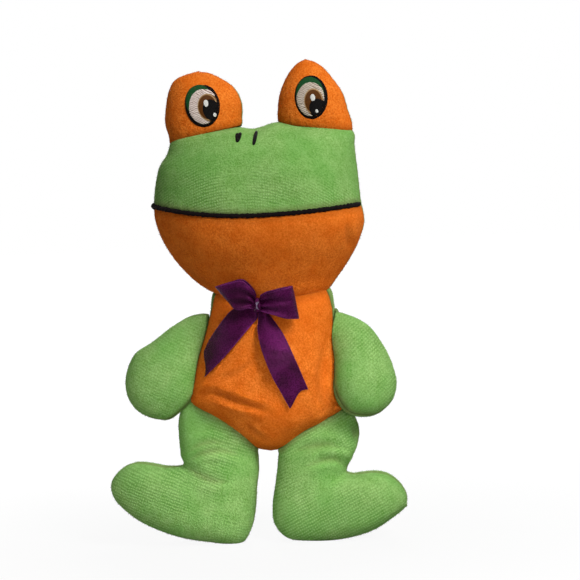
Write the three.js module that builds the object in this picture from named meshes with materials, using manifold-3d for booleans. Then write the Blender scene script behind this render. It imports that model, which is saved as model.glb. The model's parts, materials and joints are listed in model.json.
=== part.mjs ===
// A stuffed velour frog that stands on its two boots and faces -Y. Millimetres, +Z up.
// Left and right are the viewer's own: the left arm and leg lie at -X.
// Every stuffed form is a closed skin of rounded cross-sections between two outline curves. It is parted into a
// front and a back panel of cloth at the side seam, round a solid core of stuffing.
// The hips and shoulders hinge about X through the middle of their seams, and the head nods about X at the neck.

import * as THREE from "three";
import { mergeVertices } from "three/addons/utils/BufferGeometryUtils.js";
import Module from "manifold-3d";

const wasm = await Module();
wasm.setup();

// Cloth, thread and gaps
const velourThickness = 2;
const fitGap = 0.3;
const sweepGap = 0.6;
const threadHeight = 0.8;
const soleFlatDepth = 0.5;
const cutterReach = 700;

// Body: the shares in a row are height, left edge, right edge, swell and roundness. Heights above it are counted
// from the body's top, which the head covers.
const crotchHeight = 55.5;
const bodyHeight = 104.5;
const bodyHalfWidth = 48;
const bodyFrontSwell = 28;
const bodyBackSwell = 26;
const bodyTop = crotchHeight + bodyHeight;
const bodyRowShares = [
  [1, -0.083, 0.083, 0, 2],
  [0.971, 0.33, 0.5, 0.46, 2],
  [0.923, 0.66, 0.82, 0.74, 2],
  [0.809, 0.68, 0.88, 0.81, 2.1],
  [0.694, 0.74, 0.89, 0.9, 2.1],
  [0.541, 0.83, 0.915, 0.98, 2],
  [0.407, 0.93, 0.97, 1, 1.95],
  [0.292, 0.99, 1.01, 0.91, 1.7],
  [0.196, 0.71, 0.885, 0.71, 1.5],
  [0.1, 0.425, 0.49, 0.46, 1.4],
  [0.029, 0.21, 0.19, 0.2, 1.4],
  [0, 0, 0, 0, 2],
];

// Neck: the head nods about this height, its chin down by the first angle and up by the second
const neckSink = 8;
const neckHeight = bodyTop - neckSink;
const nodDown = 8;
const nodUp = 15;

// Head: rows as for the body
const chinSink = 12;
const chinHeight = bodyTop - chinSink;
const headHeight = 103;
const headTop = chinHeight + headHeight;
const headHalfWidth = 62.5;
const headFrontSwell = 42;
const headBackSwell = 38;
const headX = 1.5;
const headRowShares = [
  [1, 0, 0, 0, 2],
  [0.985, 0.36, 0.38, 0.3, 2],
  [0.937, 0.86, 0.9, 0.57, 2.1],
  [0.845, 0.915, 0.915, 0.8, 2.2],
  [0.7, 0.995, 0.93, 0.95, 2.3],
  [0.534, 1.055, 0.95, 1, 2.3],
  [0.408, 1.01, 0.972, 0.97, 2.3],
  [0.291, 0.92, 0.91, 0.88, 2.2],
  [0.175, 0.79, 0.8, 0.73, 2.1],
  [0.087, 0.645, 0.68, 0.56, 2],
  [0.029, 0.48, 0.53, 0.38, 2],
  [0, 0, 0, 0, 2],
];

// Mouth: a cord along the seam between the face and the jaw, higher at its ends than in the middle
const mouthRise = 50;
const mouthHeight = chinHeight + mouthRise;
const mouthEndRiseLeft = 7.5;
const mouthEndRiseRight = 4;
const cordRadius = 1.3;
const cordEndInset = 2;

// Nostrils: satin stitches, with their places counted from the top of the head
const nostrils = [
  { side: "left", x: -11.5, drop: 7.5, length: 6.2, width: 3.2, lean: -6 },
  { side: "right", x: -1.3, drop: 8.5, length: 8.4, width: 2.5, lean: -11 },
];

// Eye bulges: rows as for the body, sunk below the top of the head
const bulgeFrontSwell = 17;
const bulgeBackSwell = 16;
const bulges = [
  {
    side: "left",
    outShare: -0.528,
    sink: 15,
    height: 48.3,
    halfWidth: 23.4,
    rowShares: [
      [1, 0.064, -0.064, 0, 2],
      [0.973, 0.33, 0.22, 0.24, 2],
      [0.9, 0.69, 0.52, 0.5, 2],
      [0.766, 0.87, 0.84, 0.77, 2.1],
      [0.58, 0.97, 1, 0.95, 2.2],
      [0.373, 1.02, 1, 1, 2.2],
      [0.207, 0.91, 1, 0.97, 2.2],
      [0.09, 0.86, 0.96, 0.88, 2.1],
      [0, 0, 0, 0, 2],
    ],
    eye: { x: 1.5, up: 28.6, halfWidth: 10.3, halfHeight: 13.1, lean: 5 },
  },
  {
    side: "right",
    outShare: 0.5424,
    sink: 14,
    height: 51.2,
    halfWidth: 21.8,
    rowShares: [
      [1, 0.18, -0.18, 0, 2],
      [0.973, 0.35, 0.05, 0.22, 2],
      [0.9, 0.555, 0.3, 0.46, 2],
      [0.763, 0.77, 0.555, 0.74, 2.1],
      [0.586, 0.936, 0.77, 0.93, 2.2],
      [0.39, 1, 0.88, 1, 2.2],
      [0.23, 0.99, 0.98, 0.97, 2.2],
      [0.1, 0.92, 0.96, 0.88, 2.1],
      [0, 0, 0, 0, 2],
    ],
    eye: { x: -0.4, up: 29.2, halfWidth: 9.6, halfHeight: 12.9, lean: -2.5 },
  },
];

// Eye embroidery: ellipses inside the eye, as shares of its half width and half height
const eyeOutlineWidth = 1.4;
const eyeShares = {
  whiteTop: { x: 0.1, up: -0.13, wide: 0.93, tall: 0.93 },
  iris: { x: 0.33, up: -0.14, wide: 0.62, tall: 0.71 },
  pupil: { x: 0.47, up: -0.3, wide: 0.46, tall: 0.54 },
  glint: { x: 0.22, up: 0, wide: 0.16, tall: 0.185 },
  spark: { x: 0.62, up: -0.56, wide: 0.1, tall: 0.1 },
};

// Arms: the shares in a row are outer edge out and down, inner edge out and down, swell and roundness,
// out and down being square to and along a line that leans outwards from the shoulder
const shoulderDrop = 29;
const shoulderHeight = bodyTop - shoulderDrop;
const armLength = 65;
const armSwell = 15.5;
const armRaise = 75;
const arms = [
  { side: "left", sign: -1, outShare: 0.729, lean: 41.7, forward: 6, twist: 10 },
  { side: "right", sign: 1, outShare: 0.802, lean: 26.6, forward: 12, twist: 25 },
];
const armRowShares = [
  [-0.01, -0.015, -0.01, -0.015, 0, 2],
  [0.06, -0.11, -0.08, 0.08, 0.22, 2],
  [0.195, 0, -0.1, 0.17, 0.55, 2],
  [0.28, 0.2, -0.14, 0.31, 0.82, 2.1],
  [0.325, 0.42, -0.22, 0.46, 0.96, 2.2],
  [0.345, 0.625, -0.29, 0.595, 1, 2.2],
  [0.29, 0.83, -0.31, 0.75, 0.93, 2.2],
  [0.18, 0.95, -0.275, 0.875, 0.72, 2.1],
  [0.045, 1, -0.15, 0.965, 0.4, 2],
  [-0.055, 0.997, -0.055, 0.997, 0, 2],
];

// Legs: rows as for the arms, down from the middle of the hip seam through the ankle to the toe,
// in shares of a leg height that brings the lower side of the boot to the floor
const hipRise = 12;
const hipHeight = crotchHeight + hipRise;
const legSwell = 19;
const legRaise = 70;
const legBack = 20;
const ankleDownShare = 0.63;
const legCrowding = 0.36;
const legs = [
  { side: "left", sign: -1, outShare: 0.556, riseShare: 0.1445, lean: 11 },
  { side: "right", sign: 1, outShare: 0.479, riseShare: 0.0957, lean: 0 },
];
const legRowShares = [
  [0.05, 0.01, 0.05, 0.01, 0, 2],
  [0.38, -0.15, -0.26, 0.12, 0.16, 2],
  [0.465, -0.015, -0.3, 0.235, 0.5, 2],
  [0.46, 0.14, -0.323, 0.346, 0.78, 2],
  [0.405, 0.283, -0.346, 0.488, 0.9, 2.1],
  [0.358, 0.385, -0.375, 0.66, 0.95, 2.3],
  [0.4, 0.41, -0.365, 0.835, 0.97, 2.6],
  [0.49, 0.403, -0.236, 0.965, 1, 2.9],
  [0.6, 0.4, 0, 1, 1, 3],
  [0.71, 0.425, 0.283, 0.992, 0.97, 2.8],
  [0.81, 0.5, 0.567, 0.925, 0.85, 2.5],
  [0.874, 0.606, 0.764, 0.811, 0.56, 2.2],
  [0.876, 0.724, 0.876, 0.724, 0, 2],
];

// Bow: a ribbon gathered and tied with thread in front of the neck. A tail's outline lies across and up from
// the knot, in shares of the tail's length.
const knotX = -1.6;
const knotDrop = 16.3;
const knotHeight = bodyTop - knotDrop;
const knotHalfWidth = 3.4;
const knotHalfDepth = 4;
const knotHalfHeight = 5;
const stitchRadius = 0.5;
const ribbonThickness = 0.6;
const gatheredWidth = 6;
const loopPuff = 3;
const loops = [
  { side: "left", reach: new THREE.Vector3(-18.6, 0, 5.4), foldHalf: new THREE.Vector3(6, 0, -7.3) },
  { side: "right", reach: new THREE.Vector3(23.3, 0, 0.7), foldHalf: new THREE.Vector3(1.1, 0, -8.9) },
];
const tails = [
  {
    side: "left",
    length: 54,
    outlineShares: [
      [-0.04, 0.03],
      [-0.19, 0],
      [-0.335, -0.085],
      [-0.46, -0.23],
      [-0.575, -0.36],
      [-0.63, -0.46],
      [-0.645, -0.58],
      [-0.645, -0.765],
      [-0.54, -0.69],
      [-0.4, -0.56],
      [-0.248, -0.425],
      [-0.13, -0.285],
      [-0.057, -0.17],
      [-0.045, -0.06],
    ],
  },
  {
    side: "right",
    length: 64,
    outlineShares: [
      [-0.015, 0.03],
      [-0.028, -0.094],
      [-0.042, -0.206],
      [-0.04, -0.347],
      [0, -0.489],
      [0.048, -0.661],
      [0.117, -0.805],
      [0.211, -0.988],
      [0.241, -0.942],
      [0.281, -0.906],
      [0.32, -0.852],
      [0.388, -0.827],
      [0.328, -0.684],
      [0.27, -0.531],
      [0.203, -0.358],
      [0.136, -0.214],
      [0.08, -0.1],
    ],
  },
];

// Colours
const green = 0x84b065;
const orange = 0xe8813a;
const fillWhite = 0xece9df;
const black = 0x0c0808;
const purple = 0x4a0f45;
const lidGreen = 0x12461f;
const scleraPink = 0xcdbdb5;
const irisBrown = 0x7a4a1a;
const threadWhite = 0xe2e2d8;
const threadGrey = 0x8d8496;

const model = new THREE.Group();

// Solids

function solidOf(geometry) {
  const bare = geometry.clone();
  bare.deleteAttribute("normal");
  bare.deleteAttribute("uv");
  const merged = mergeVertices(bare);
  return new wasm.Manifold(
    new wasm.Mesh({
      numProp: 3,
      vertProperties: new Float32Array(merged.attributes.position.array),
      triVerts: new Uint32Array(merged.index.array),
    }),
  );
}

function geometryOf(solid) {
  const mesh = solid.getMesh();
  const geometry = new THREE.BufferGeometry();
  geometry.setAttribute("position", new THREE.BufferAttribute(mesh.vertProperties, 3));
  geometry.setIndex(new THREE.BufferAttribute(mesh.triVerts, 1));
  return geometry;
}

// The main body of a cut piece, without the crumbs that a cut can leave.
function mainBody(solid) {
  return solid.decompose().reduce((most, body) => (body.volume() > most.volume() ? body : most));
}

function addPiece(name, solid, colour, roughness = 0.95) {
  const material = new THREE.MeshStandardMaterial({ color: colour, roughness, metalness: 0 });
  const geometry = geometryOf(mainBody(solid)).toNonIndexed();
  geometry.computeVertexNormals();
  const mesh = new THREE.Mesh(geometry, material);
  mesh.name = name;
  model.add(mesh);
}

// A block that fills the side of a plane across Y or Z which direction points to.
function blockBeyond(axis, place, direction) {
  const block = new THREE.BoxGeometry(cutterReach, cutterReach, cutterReach);
  const offset = place + (direction * cutterReach) / 2;
  block.translate(0, axis === "y" ? offset : 0, axis === "z" ? offset : 0);
  return solidOf(block);
}

// The geometry scaled about a centre so that its box shrinks by inset on each side. A negative inset makes it grow.
function shrunk(geometry, inset, centre) {
  geometry.computeBoundingBox();
  const size = geometry.boundingBox.getSize(new THREE.Vector3());
  const middle = centre ?? geometry.boundingBox.getCenter(new THREE.Vector3());
  return geometry
    .clone()
    .translate(-middle.x, -middle.y, -middle.z)
    .scale(1 - (2 * inset) / size.x, 1 - (2 * inset) / size.y, 1 - (2 * inset) / size.z)
    .translate(middle.x, middle.y, middle.z);
}

// The geometry swung forwards, which takes what hangs below the pivot towards -Y.
function swung(geometry, pivotHeight, degrees) {
  return geometry
    .clone()
    .translate(0, 0, -pivotHeight)
    .rotateX(-THREE.MathUtils.degToRad(degrees))
    .translate(0, 0, pivotHeight);
}

// The union of a geometry swung to evenly spaced angles.
function swept(geometry, pivotHeight, fromDegrees, toDegrees, steps) {
  let union = solidOf(swung(geometry, pivotHeight, fromDegrees));
  for (let i = 1; i <= steps; i++) {
    const angle = THREE.MathUtils.lerp(fromDegrees, toDegrees, i / steps);
    union = union.add(solidOf(swung(geometry, pivotHeight, angle)));
  }
  return union;
}

// Stuffed forms

// Rows across an upright form, from their shares.
function uprightRows(rowShares, { x, base, height, halfWidth, front, back }) {
  return rowShares.map(([up, left, right, swell, roundness]) => ({
    left: new THREE.Vector2(x - left * halfWidth, base + up * height),
    right: new THREE.Vector2(x + right * halfWidth, base + up * height),
    front: swell * front,
    back: swell * back,
    roundness,
  }));
}

// Rows across a limb, whose line leans outwards from straight down.
function limbRows(rowShares, { sign, x, height, lean, size, swell }) {
  const angle = THREE.MathUtils.degToRad(lean);
  const place = (out, down) =>
    new THREE.Vector2(
      x + sign * size * (out * Math.cos(angle) + down * Math.sin(angle)),
      height + size * (out * Math.sin(angle) - down * Math.cos(angle)),
    );
  return rowShares.map(([outerOut, outerDown, innerOut, innerDown, swellShare, roundness]) => {
    const outer = place(outerOut, outerDown);
    const inner = place(innerOut, innerDown);
    return {
      left: sign < 0 ? outer : inner,
      right: sign < 0 ? inner : outer,
      front: swellShare * swell,
      back: swellShare * swell,
      roundness,
    };
  });
}

// Smooth curves through the rows: the section at t has its two edges, its swells and its roundness.
function sectionCurves(rows) {
  const leftCurve = new THREE.CatmullRomCurve3(rows.map((r) => new THREE.Vector3(r.left.x, r.front, r.left.y)));
  const rightCurve = new THREE.CatmullRomCurve3(rows.map((r) => new THREE.Vector3(r.right.x, r.back, r.right.y)));
  const last = rows.length - 1;
  return (t) => {
    const left = leftCurve.getPoint(t);
    const right = rightCurve.getPoint(t);
    const below = Math.min(Math.floor(t * last), last - 1);
    const roundness = THREE.MathUtils.lerp(rows[below].roundness, rows[below + 1].roundness, t * last - below);
    return { left, right, front: Math.max(left.y, 0), back: Math.max(right.y, 0), roundness };
  };
}

// A point on the section: angle 0 is its right edge, and a quarter turn is its front.
function sectionPoint({ left, right, front, back, roundness }, angle) {
  const power = 2 / roundness;
  const across = Math.sign(Math.cos(angle)) * Math.abs(Math.cos(angle)) ** power;
  const outwards = Math.abs(Math.sin(angle)) ** power;
  const y = Math.sin(angle) > 0 ? -front * outwards : back * outwards;
  return new THREE.Vector3(
    (left.x + right.x) / 2 + (across * (right.x - left.x)) / 2,
    y,
    (left.z + right.z) / 2 + (across * (right.z - left.z)) / 2,
  );
}

// Crowding draws the points of each section towards its two edges.
function stuffedGeometry(rows, bands, sides, crowding = 0) {
  const sectionAt = sectionCurves(rows);
  const points = [sectionPoint(sectionAt(0), 0)];
  for (let i = 1; i < bands; i++) {
    const section = sectionAt(i / bands);
    for (let k = 0; k < sides; k++) {
      const angle = (2 * Math.PI * k) / sides;
      points.push(sectionPoint(section, angle - crowding * Math.sin(2 * angle)));
    }
  }
  points.push(sectionPoint(sectionAt(1), 0));
  const last = points.length - 1;
  const ring = (i, k) => 1 + (i - 1) * sides + (k % sides);
  const faces = [];
  for (let k = 0; k < sides; k++) {
    faces.push(0, ring(1, k + 1), ring(1, k));
    for (let i = 1; i < bands - 1; i++) {
      faces.push(ring(i, k), ring(i, k + 1), ring(i + 1, k));
      faces.push(ring(i, k + 1), ring(i + 1, k + 1), ring(i + 1, k));
    }
    faces.push(ring(bands - 1, k), ring(bands - 1, k + 1), last);
  }
  const geometry = new THREE.BufferGeometry().setFromPoints(points);
  geometry.setIndex(faces);
  return geometry;
}

// How far the front of an upright form stands out from Y = 0 at a place seen from the front.
function frontAt(rows, x, z) {
  const sectionAt = sectionCurves(rows);
  let low = 0;
  let high = 1;
  const halvings = 30;
  for (let i = 0; i < halvings; i++) {
    const middle = (low + high) / 2;
    if (sectionAt(middle).left.z > z) low = middle;
    else high = middle;
  }
  const { left, right, front, roundness } = sectionAt(low);
  const across = Math.min(Math.abs((2 * x - left.x - right.x) / (right.x - left.x)), 1);
  return front * (1 - across ** roundness) ** (1 / roundness);
}

const frontSide = blockBeyond("y", -fitGap / 2, -1);
const backSide = blockBeyond("y", fitGap / 2, 1);

// The panels and the core of a form: a front and a back panel of cloth, and the stuffing inside them.
function stuffedPieces(geometry, coreGeometry, cutter, centre) {
  const skin = solidOf(geometry).subtract(solidOf(shrunk(coreGeometry, velourThickness, centre)));
  const core = solidOf(shrunk(coreGeometry, velourThickness + fitGap, centre));
  const cutSkin = cutter ? skin.subtract(cutter) : skin;
  return {
    front: cutSkin.intersect(frontSide),
    back: cutSkin.intersect(backSide),
    core: cutter ? core.subtract(cutter) : core,
  };
}

const headRows = uprightRows(headRowShares, {
  x: headX,
  base: chinHeight,
  height: headHeight,
  halfWidth: headHalfWidth,
  front: headFrontSwell,
  back: headBackSwell,
});
const bodyRows = uprightRows(bodyRowShares, {
  x: 0,
  base: crotchHeight,
  height: bodyHeight,
  halfWidth: bodyHalfWidth,
  front: bodyFrontSwell,
  back: bodyBackSwell,
});
const headGeometry = stuffedGeometry(headRows, 16, 20);
const bodyGeometry = stuffedGeometry(bodyRows, 14, 16);
const headSolid = solidOf(shrunk(headGeometry, -fitGap));

// Head

function mouthLine(x) {
  const across = (x - headX) / headHalfWidth;
  return mouthHeight + (across < 0 ? mouthEndRiseLeft : mouthEndRiseRight) * across ** 2;
}

// The cord lies half sunk in the head, round its front from one side seam to the other.
function mouthCord(radius) {
  const points = [];
  const pointsAcross = 14;
  for (let i = 0; i <= pointsAcross; i++) {
    const angle = Math.PI * (1 - i / pointsAcross);
    const x = headX + (headHalfWidth - cordEndInset) * Math.cos(angle);
    points.push(new THREE.Vector3(x, -frontAt(headRows, x, mouthLine(x)), mouthLine(x)));
  }
  const circle = new THREE.Shape().absarc(0, 0, radius, 0, 2 * Math.PI);
  const path = new THREE.CatmullRomCurve3(points);
  return solidOf(
    new THREE.ExtrudeGeometry(circle, { steps: 26, curveSegments: 4, bevelEnabled: false, extrudePath: path }),
  );
}

// The part of the front above the mouth, as a block whose lower face follows the mouth's line.
function aboveMouth(lift) {
  const outline = new THREE.Shape();
  const pointsAcross = 20;
  outline.moveTo(headX + cutterReach, mouthLine(headX + headHalfWidth) + lift);
  for (let i = 0; i <= pointsAcross; i++) {
    const x = headX + headHalfWidth * (1 - (2 * i) / pointsAcross);
    outline.lineTo(x, mouthLine(x) + lift);
  }
  outline.lineTo(headX - cutterReach, mouthLine(headX - headHalfWidth) + lift);
  outline.lineTo(headX - cutterReach, cutterReach);
  outline.lineTo(headX + cutterReach, cutterReach);
  return facingPrism(outline, cutterReach);
}

// A shape drawn as seen from the front, given depth towards -Y.
function facingPrism(shape, depth, curveSegments = 10) {
  return solidOf(new THREE.ExtrudeGeometry(shape, { depth, curveSegments, bevelEnabled: false }).rotateX(Math.PI / 2));
}

// A layer that lies on a form: the part of a prism just above the form's surface.
function laidOn(geometry, prism, thickness) {
  const layer = solidOf(shrunk(geometry, -fitGap - thickness)).subtract(solidOf(shrunk(geometry, -fitGap)));
  return prism.intersect(layer);
}

function ellipseShape(x, z, halfWidth, halfHeight, leanDegrees) {
  return new THREE.Shape().absellipse(
    x,
    z,
    halfWidth,
    halfHeight,
    0,
    2 * Math.PI,
    false,
    THREE.MathUtils.degToRad(leanDegrees),
  );
}

function addHead() {
  const { front, back, core } = stuffedPieces(headGeometry, stuffedGeometry(headRows, 10, 12));
  const groove = mouthCord(cordRadius + fitGap);
  addPiece("face_panel", front.intersect(aboveMouth(fitGap / 2)).subtract(groove), green);
  addPiece("jaw_panel", front.subtract(aboveMouth(-fitGap / 2)).subtract(groove), orange);
  addPiece("head_back_panel", back.subtract(groove), green);
  addPiece("head_stuffing", core, fillWhite, 1);
  addPiece("mouth_cord", mouthCord(cordRadius), black);
  for (const { side, x, drop, length, width, lean } of nostrils) {
    const shape = ellipseShape(headX + x, headTop - drop, width / 2, length / 2, lean);
    addPiece("nostril_" + side, laidOn(headGeometry, facingPrism(shape, cutterReach, 6), threadHeight), black, 0.6);
  }
}

// Eyes

function addEyeThreads(side, eye, bulgeGeometry) {
  const area = ({ x, up, wide, tall }, grow = 0) =>
    facingPrism(
      ellipseShape(
        eye.x + x * eye.halfWidth,
        eye.z + up * eye.halfHeight,
        wide * eye.halfWidth + grow,
        tall * eye.halfHeight + grow,
        eye.lean,
      ),
      cutterReach,
    );
  const whole = { x: 0, up: 0, wide: 1, tall: 1 };
  const inner = area(whole, -eyeOutlineWidth);
  const clearInner = area(whole, -eyeOutlineWidth - fitGap);
  const irisArea = area(eyeShares.iris).intersect(clearInner);
  const pupilArea = area(eyeShares.pupil).intersect(clearInner);
  const threads = {
    outline: [area(whole).subtract(inner), black],
    lid: [clearInner.subtract(area(eyeShares.whiteTop, fitGap)), lidGreen],
    white: [clearInner.intersect(area(eyeShares.whiteTop)).subtract(area(eyeShares.iris, fitGap)), scleraPink],
    iris: [irisArea.subtract(area(eyeShares.pupil, fitGap)).subtract(area(eyeShares.glint, fitGap)), irisBrown],
    pupil: [
      pupilArea.subtract(area(eyeShares.glint, fitGap)).subtract(area(eyeShares.spark, fitGap)),
      black,
    ],
    glint: [area(eyeShares.glint), threadWhite],
    spark: [area(eyeShares.spark).intersect(clearInner), threadWhite],
  };
  for (const [name, [prism, colour]] of Object.entries(threads)) {
    addPiece("eye_" + name + "_" + side, laidOn(bulgeGeometry, prism, threadHeight), colour, 0.5);
  }
}

function addEyes() {
  for (const { side, outShare, sink, height, halfWidth, rowShares, eye } of bulges) {
    const x = headX + outShare * headHalfWidth;
    const base = headTop - sink;
    const rows = uprightRows(rowShares, { x, base, height, halfWidth, front: bulgeFrontSwell, back: bulgeBackSwell });
    const geometry = stuffedGeometry(rows, 10, 14);
    const { front, back, core } = stuffedPieces(geometry, stuffedGeometry(rows, 6, 8), headSolid);
    addPiece("eye_front_panel_" + side, front, orange);
    addPiece("eye_back_panel_" + side, back, green);
    addPiece("eye_stuffing_" + side, core, fillWhite, 1);
    addEyeThreads(side, { ...eye, x: x + eye.x, z: base + eye.up }, geometry);
  }
}

// Body

function addBody() {
  const headPath = swept(shrunk(headGeometry, -sweepGap), neckHeight, -nodDown, nodUp, 4);
  const { front, back, core } = stuffedPieces(bodyGeometry, stuffedGeometry(bodyRows, 9, 10), headPath);
  addPiece("belly_panel", front, orange);
  addPiece("back_panel", back, green);
  addPiece("body_stuffing", core, fillWhite, 1);
}

// Limbs: each is clear of the body all the way that it swings

function addLimb(kind, side, geometry, coreGeometry, cutter, centre) {
  const { front, back, core } = stuffedPieces(geometry, coreGeometry, cutter, centre);
  addPiece(kind + "_front_panel_" + side, front, green);
  addPiece(kind + "_back_panel_" + side, back, green);
  addPiece(kind + "_stuffing_" + side, core, fillWhite, 1);
}

// An arm's geometry turned about its own line, its inner edge coming forwards, and swung a little forwards.
function posedArm(geometry, { sign, outShare, lean, forward, twist }) {
  const x = sign * outShare * bodyHalfWidth;
  const angle = THREE.MathUtils.degToRad(lean);
  const line = new THREE.Vector3(sign * Math.sin(angle), 0, -Math.cos(angle));
  const turn = new THREE.Matrix4().makeRotationAxis(line, -sign * THREE.MathUtils.degToRad(twist));
  const turned = geometry
    .clone()
    .translate(-x, 0, -shoulderHeight)
    .applyMatrix4(turn)
    .translate(x, 0, shoulderHeight);
  return swung(turned, shoulderHeight, forward);
}

function addArms() {
  const bodyPath = swept(shrunk(bodyGeometry, -sweepGap), shoulderHeight, -armRaise, 0, 20);
  for (const [i, arm] of arms.entries()) {
    const x = arm.sign * arm.outShare * bodyHalfWidth;
    const rows = limbRows(armRowShares, { ...arm, x, height: shoulderHeight, size: armLength, swell: armSwell });
    const geometry = posedArm(stuffedGeometry(rows, 11, 12), arm);
    const coreGeometry = posedArm(stuffedGeometry(rows, 7, 8), arm);
    const legPath = swept(shrunk(legGeometry(legs[i], 18, 12), -sweepGap), hipHeight, -legBack, legBack, 12);
    addLimb("arm", arm.side, geometry, coreGeometry, bodyPath.add(legPath));
  }
}

// The middle of a leg's hip seam, seen from the front.
function seamPlace({ sign, outShare, riseShare }) {
  return { x: sign * outShare * bodyHalfWidth, height: crotchHeight + riseShare * bodyHeight };
}

// The leg height that brings the lowest point of the boot's sole just under the floor, where it is cut flat.
function legSize(leg) {
  const unitRows = limbRows(legRowShares, { sign: 1, x: 0, height: 0, lean: leg.lean, size: 1, swell: 1 });
  const unitLeg = stuffedGeometry(unitRows, 18, 12, legCrowding);
  unitLeg.computeBoundingBox();
  return (seamPlace(leg).height + soleFlatDepth) / -unitLeg.boundingBox.min.z;
}

function legGeometry(leg, bands, sides) {
  const rows = limbRows(legRowShares, { ...leg, ...seamPlace(leg), size: legSize(leg), swell: legSwell });
  return stuffedGeometry(rows, bands, sides, legCrowding);
}

function addLegs() {
  const underFloor = blockBeyond("z", 0, -1);
  const bodyPath = swept(shrunk(bodyGeometry, -sweepGap), hipHeight, -legRaise, legBack, 18).add(underFloor);
  for (const leg of legs) {
    const angle = THREE.MathUtils.degToRad(leg.lean);
    const down = ankleDownShare * legSize(leg);
    const { x, height } = seamPlace(leg);
    const ankle = new THREE.Vector3(x + leg.sign * down * Math.sin(angle), 0, height - down * Math.cos(angle));
    addLimb("leg", leg.side, legGeometry(leg, 18, 12), legGeometry(leg, 10, 8), bodyPath, ankle);
  }
}

// Bow

// A strip of ribbon through rows of two edge points, given thickness along each row's own normal.
function ribbonStrip(edgeRows, normals) {
  const points = [];
  edgeRows.forEach(([left, right], i) => {
    const half = normals[i].clone().multiplyScalar(ribbonThickness / 2);
    points.push(left.clone().add(half), right.clone().add(half), right.clone().sub(half), left.clone().sub(half));
  });
  const faces = [0, 1, 2, 0, 2, 3];
  for (let i = 0; i < edgeRows.length - 1; i++) {
    for (let k = 0; k < 4; k++) {
      const a = 4 * i + k;
      const b = 4 * i + ((k + 1) % 4);
      faces.push(a, a + 4, b, b, a + 4, b + 4);
    }
  }
  const end = 4 * (edgeRows.length - 1);
  faces.push(end, end + 2, end + 1, end, end + 3, end + 2);
  const geometry = new THREE.BufferGeometry().setFromPoints(points);
  geometry.setIndex(faces);
  return solidOf(geometry);
}

// A loop runs out from the knot in front, folds over and comes back behind.
function ribbonLoop({ reach, foldHalf }, knot) {
  const steps = 14;
  const rows = [];
  const normals = [];
  const upright = new THREE.Vector3(0, 0, -gatheredWidth / 2);
  for (let i = 0; i <= steps; i++) {
    const share = (i + 0.5) / (steps + 1);
    const out = Math.sin(Math.PI * share);
    const middle = reach.clone().multiplyScalar(out).add(knot);
    middle.y -= loopPuff * Math.sin(2 * Math.PI * share);
    const half = upright.clone().lerp(foldHalf, Math.sqrt(out));
    rows.push([middle.clone().sub(half), middle.clone().add(half)]);
    const along = reach.clone().multiplyScalar(Math.cos(Math.PI * share));
    along.y = -2 * loopPuff * Math.cos(2 * Math.PI * share);
    normals.push(along.cross(half).normalize());
  }
  return ribbonStrip(rows, normals);
}

function ribbonTail({ length, outlineShares }) {
  const outline = new THREE.Shape(
    outlineShares.map(([across, up]) => new THREE.Vector2(knotX + across * length, knotHeight + up * length)),
  );
  return laidOn(bodyGeometry, facingPrism(outline, cutterReach), ribbonThickness);
}

function addBow() {
  const knot = new THREE.Vector3(knotX, 0, knotHeight);
  knot.y = -frontAt(bodyRows, knotX, knotHeight) - fitGap - stitchRadius * 2 - fitGap - knotHalfDepth;
  const knotGeometry = new THREE.SphereGeometry(1, 12, 8)
    .scale(knotHalfWidth, knotHalfDepth, knotHalfHeight)
    .translate(knot.x, knot.y, knot.z);
  const stitch = (radius) => {
    const clear = fitGap + stitchRadius;
    return solidOf(
      new THREE.TorusGeometry(1, radius / (knotHalfDepth + clear), 6, 16)
        .rotateY(Math.PI / 2)
        .scale(knotHalfDepth + clear, knotHalfDepth + clear, knotHalfHeight + clear)
        .translate(knot.x, knot.y, knot.z),
    );
  };
  const tied = solidOf(shrunk(knotGeometry, -fitGap)).add(stitch(stitchRadius + fitGap));
  addPiece("bow_knot", solidOf(knotGeometry), purple, 0.4);
  addPiece("bow_stitch", stitch(stitchRadius), threadGrey, 0.6);
  for (const loop of loops) addPiece("bow_loop_" + loop.side, ribbonLoop(loop, knot).subtract(tied), purple, 0.4);
  for (const tail of tails) addPiece("bow_tail_" + tail.side, ribbonTail(tail).subtract(tied), purple, 0.4);
}

addHead();
addEyes();
addBody();
addArms();
addLegs();
addBow();

// The middle of the toy's box stands over the origin.
const box = new THREE.Box3().setFromObject(model);
const middle = box.getCenter(new THREE.Vector3());
model.children.forEach((mesh) => mesh.position.set(-middle.x, -middle.y, 0));

export default model;
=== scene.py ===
"""A stuffed velour frog that stands on its boots, with embroidered eyes, a corded mouth and a satin bow.

Lengths are in millimetres in the part's drawing frame, whose +X is the viewer's right, -Y the front and +Z
up, and placed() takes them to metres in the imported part's frame.
"""

import json
import math
from functools import partial

import bmesh
import bpy
import numpy as np
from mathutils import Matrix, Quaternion, Vector


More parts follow.
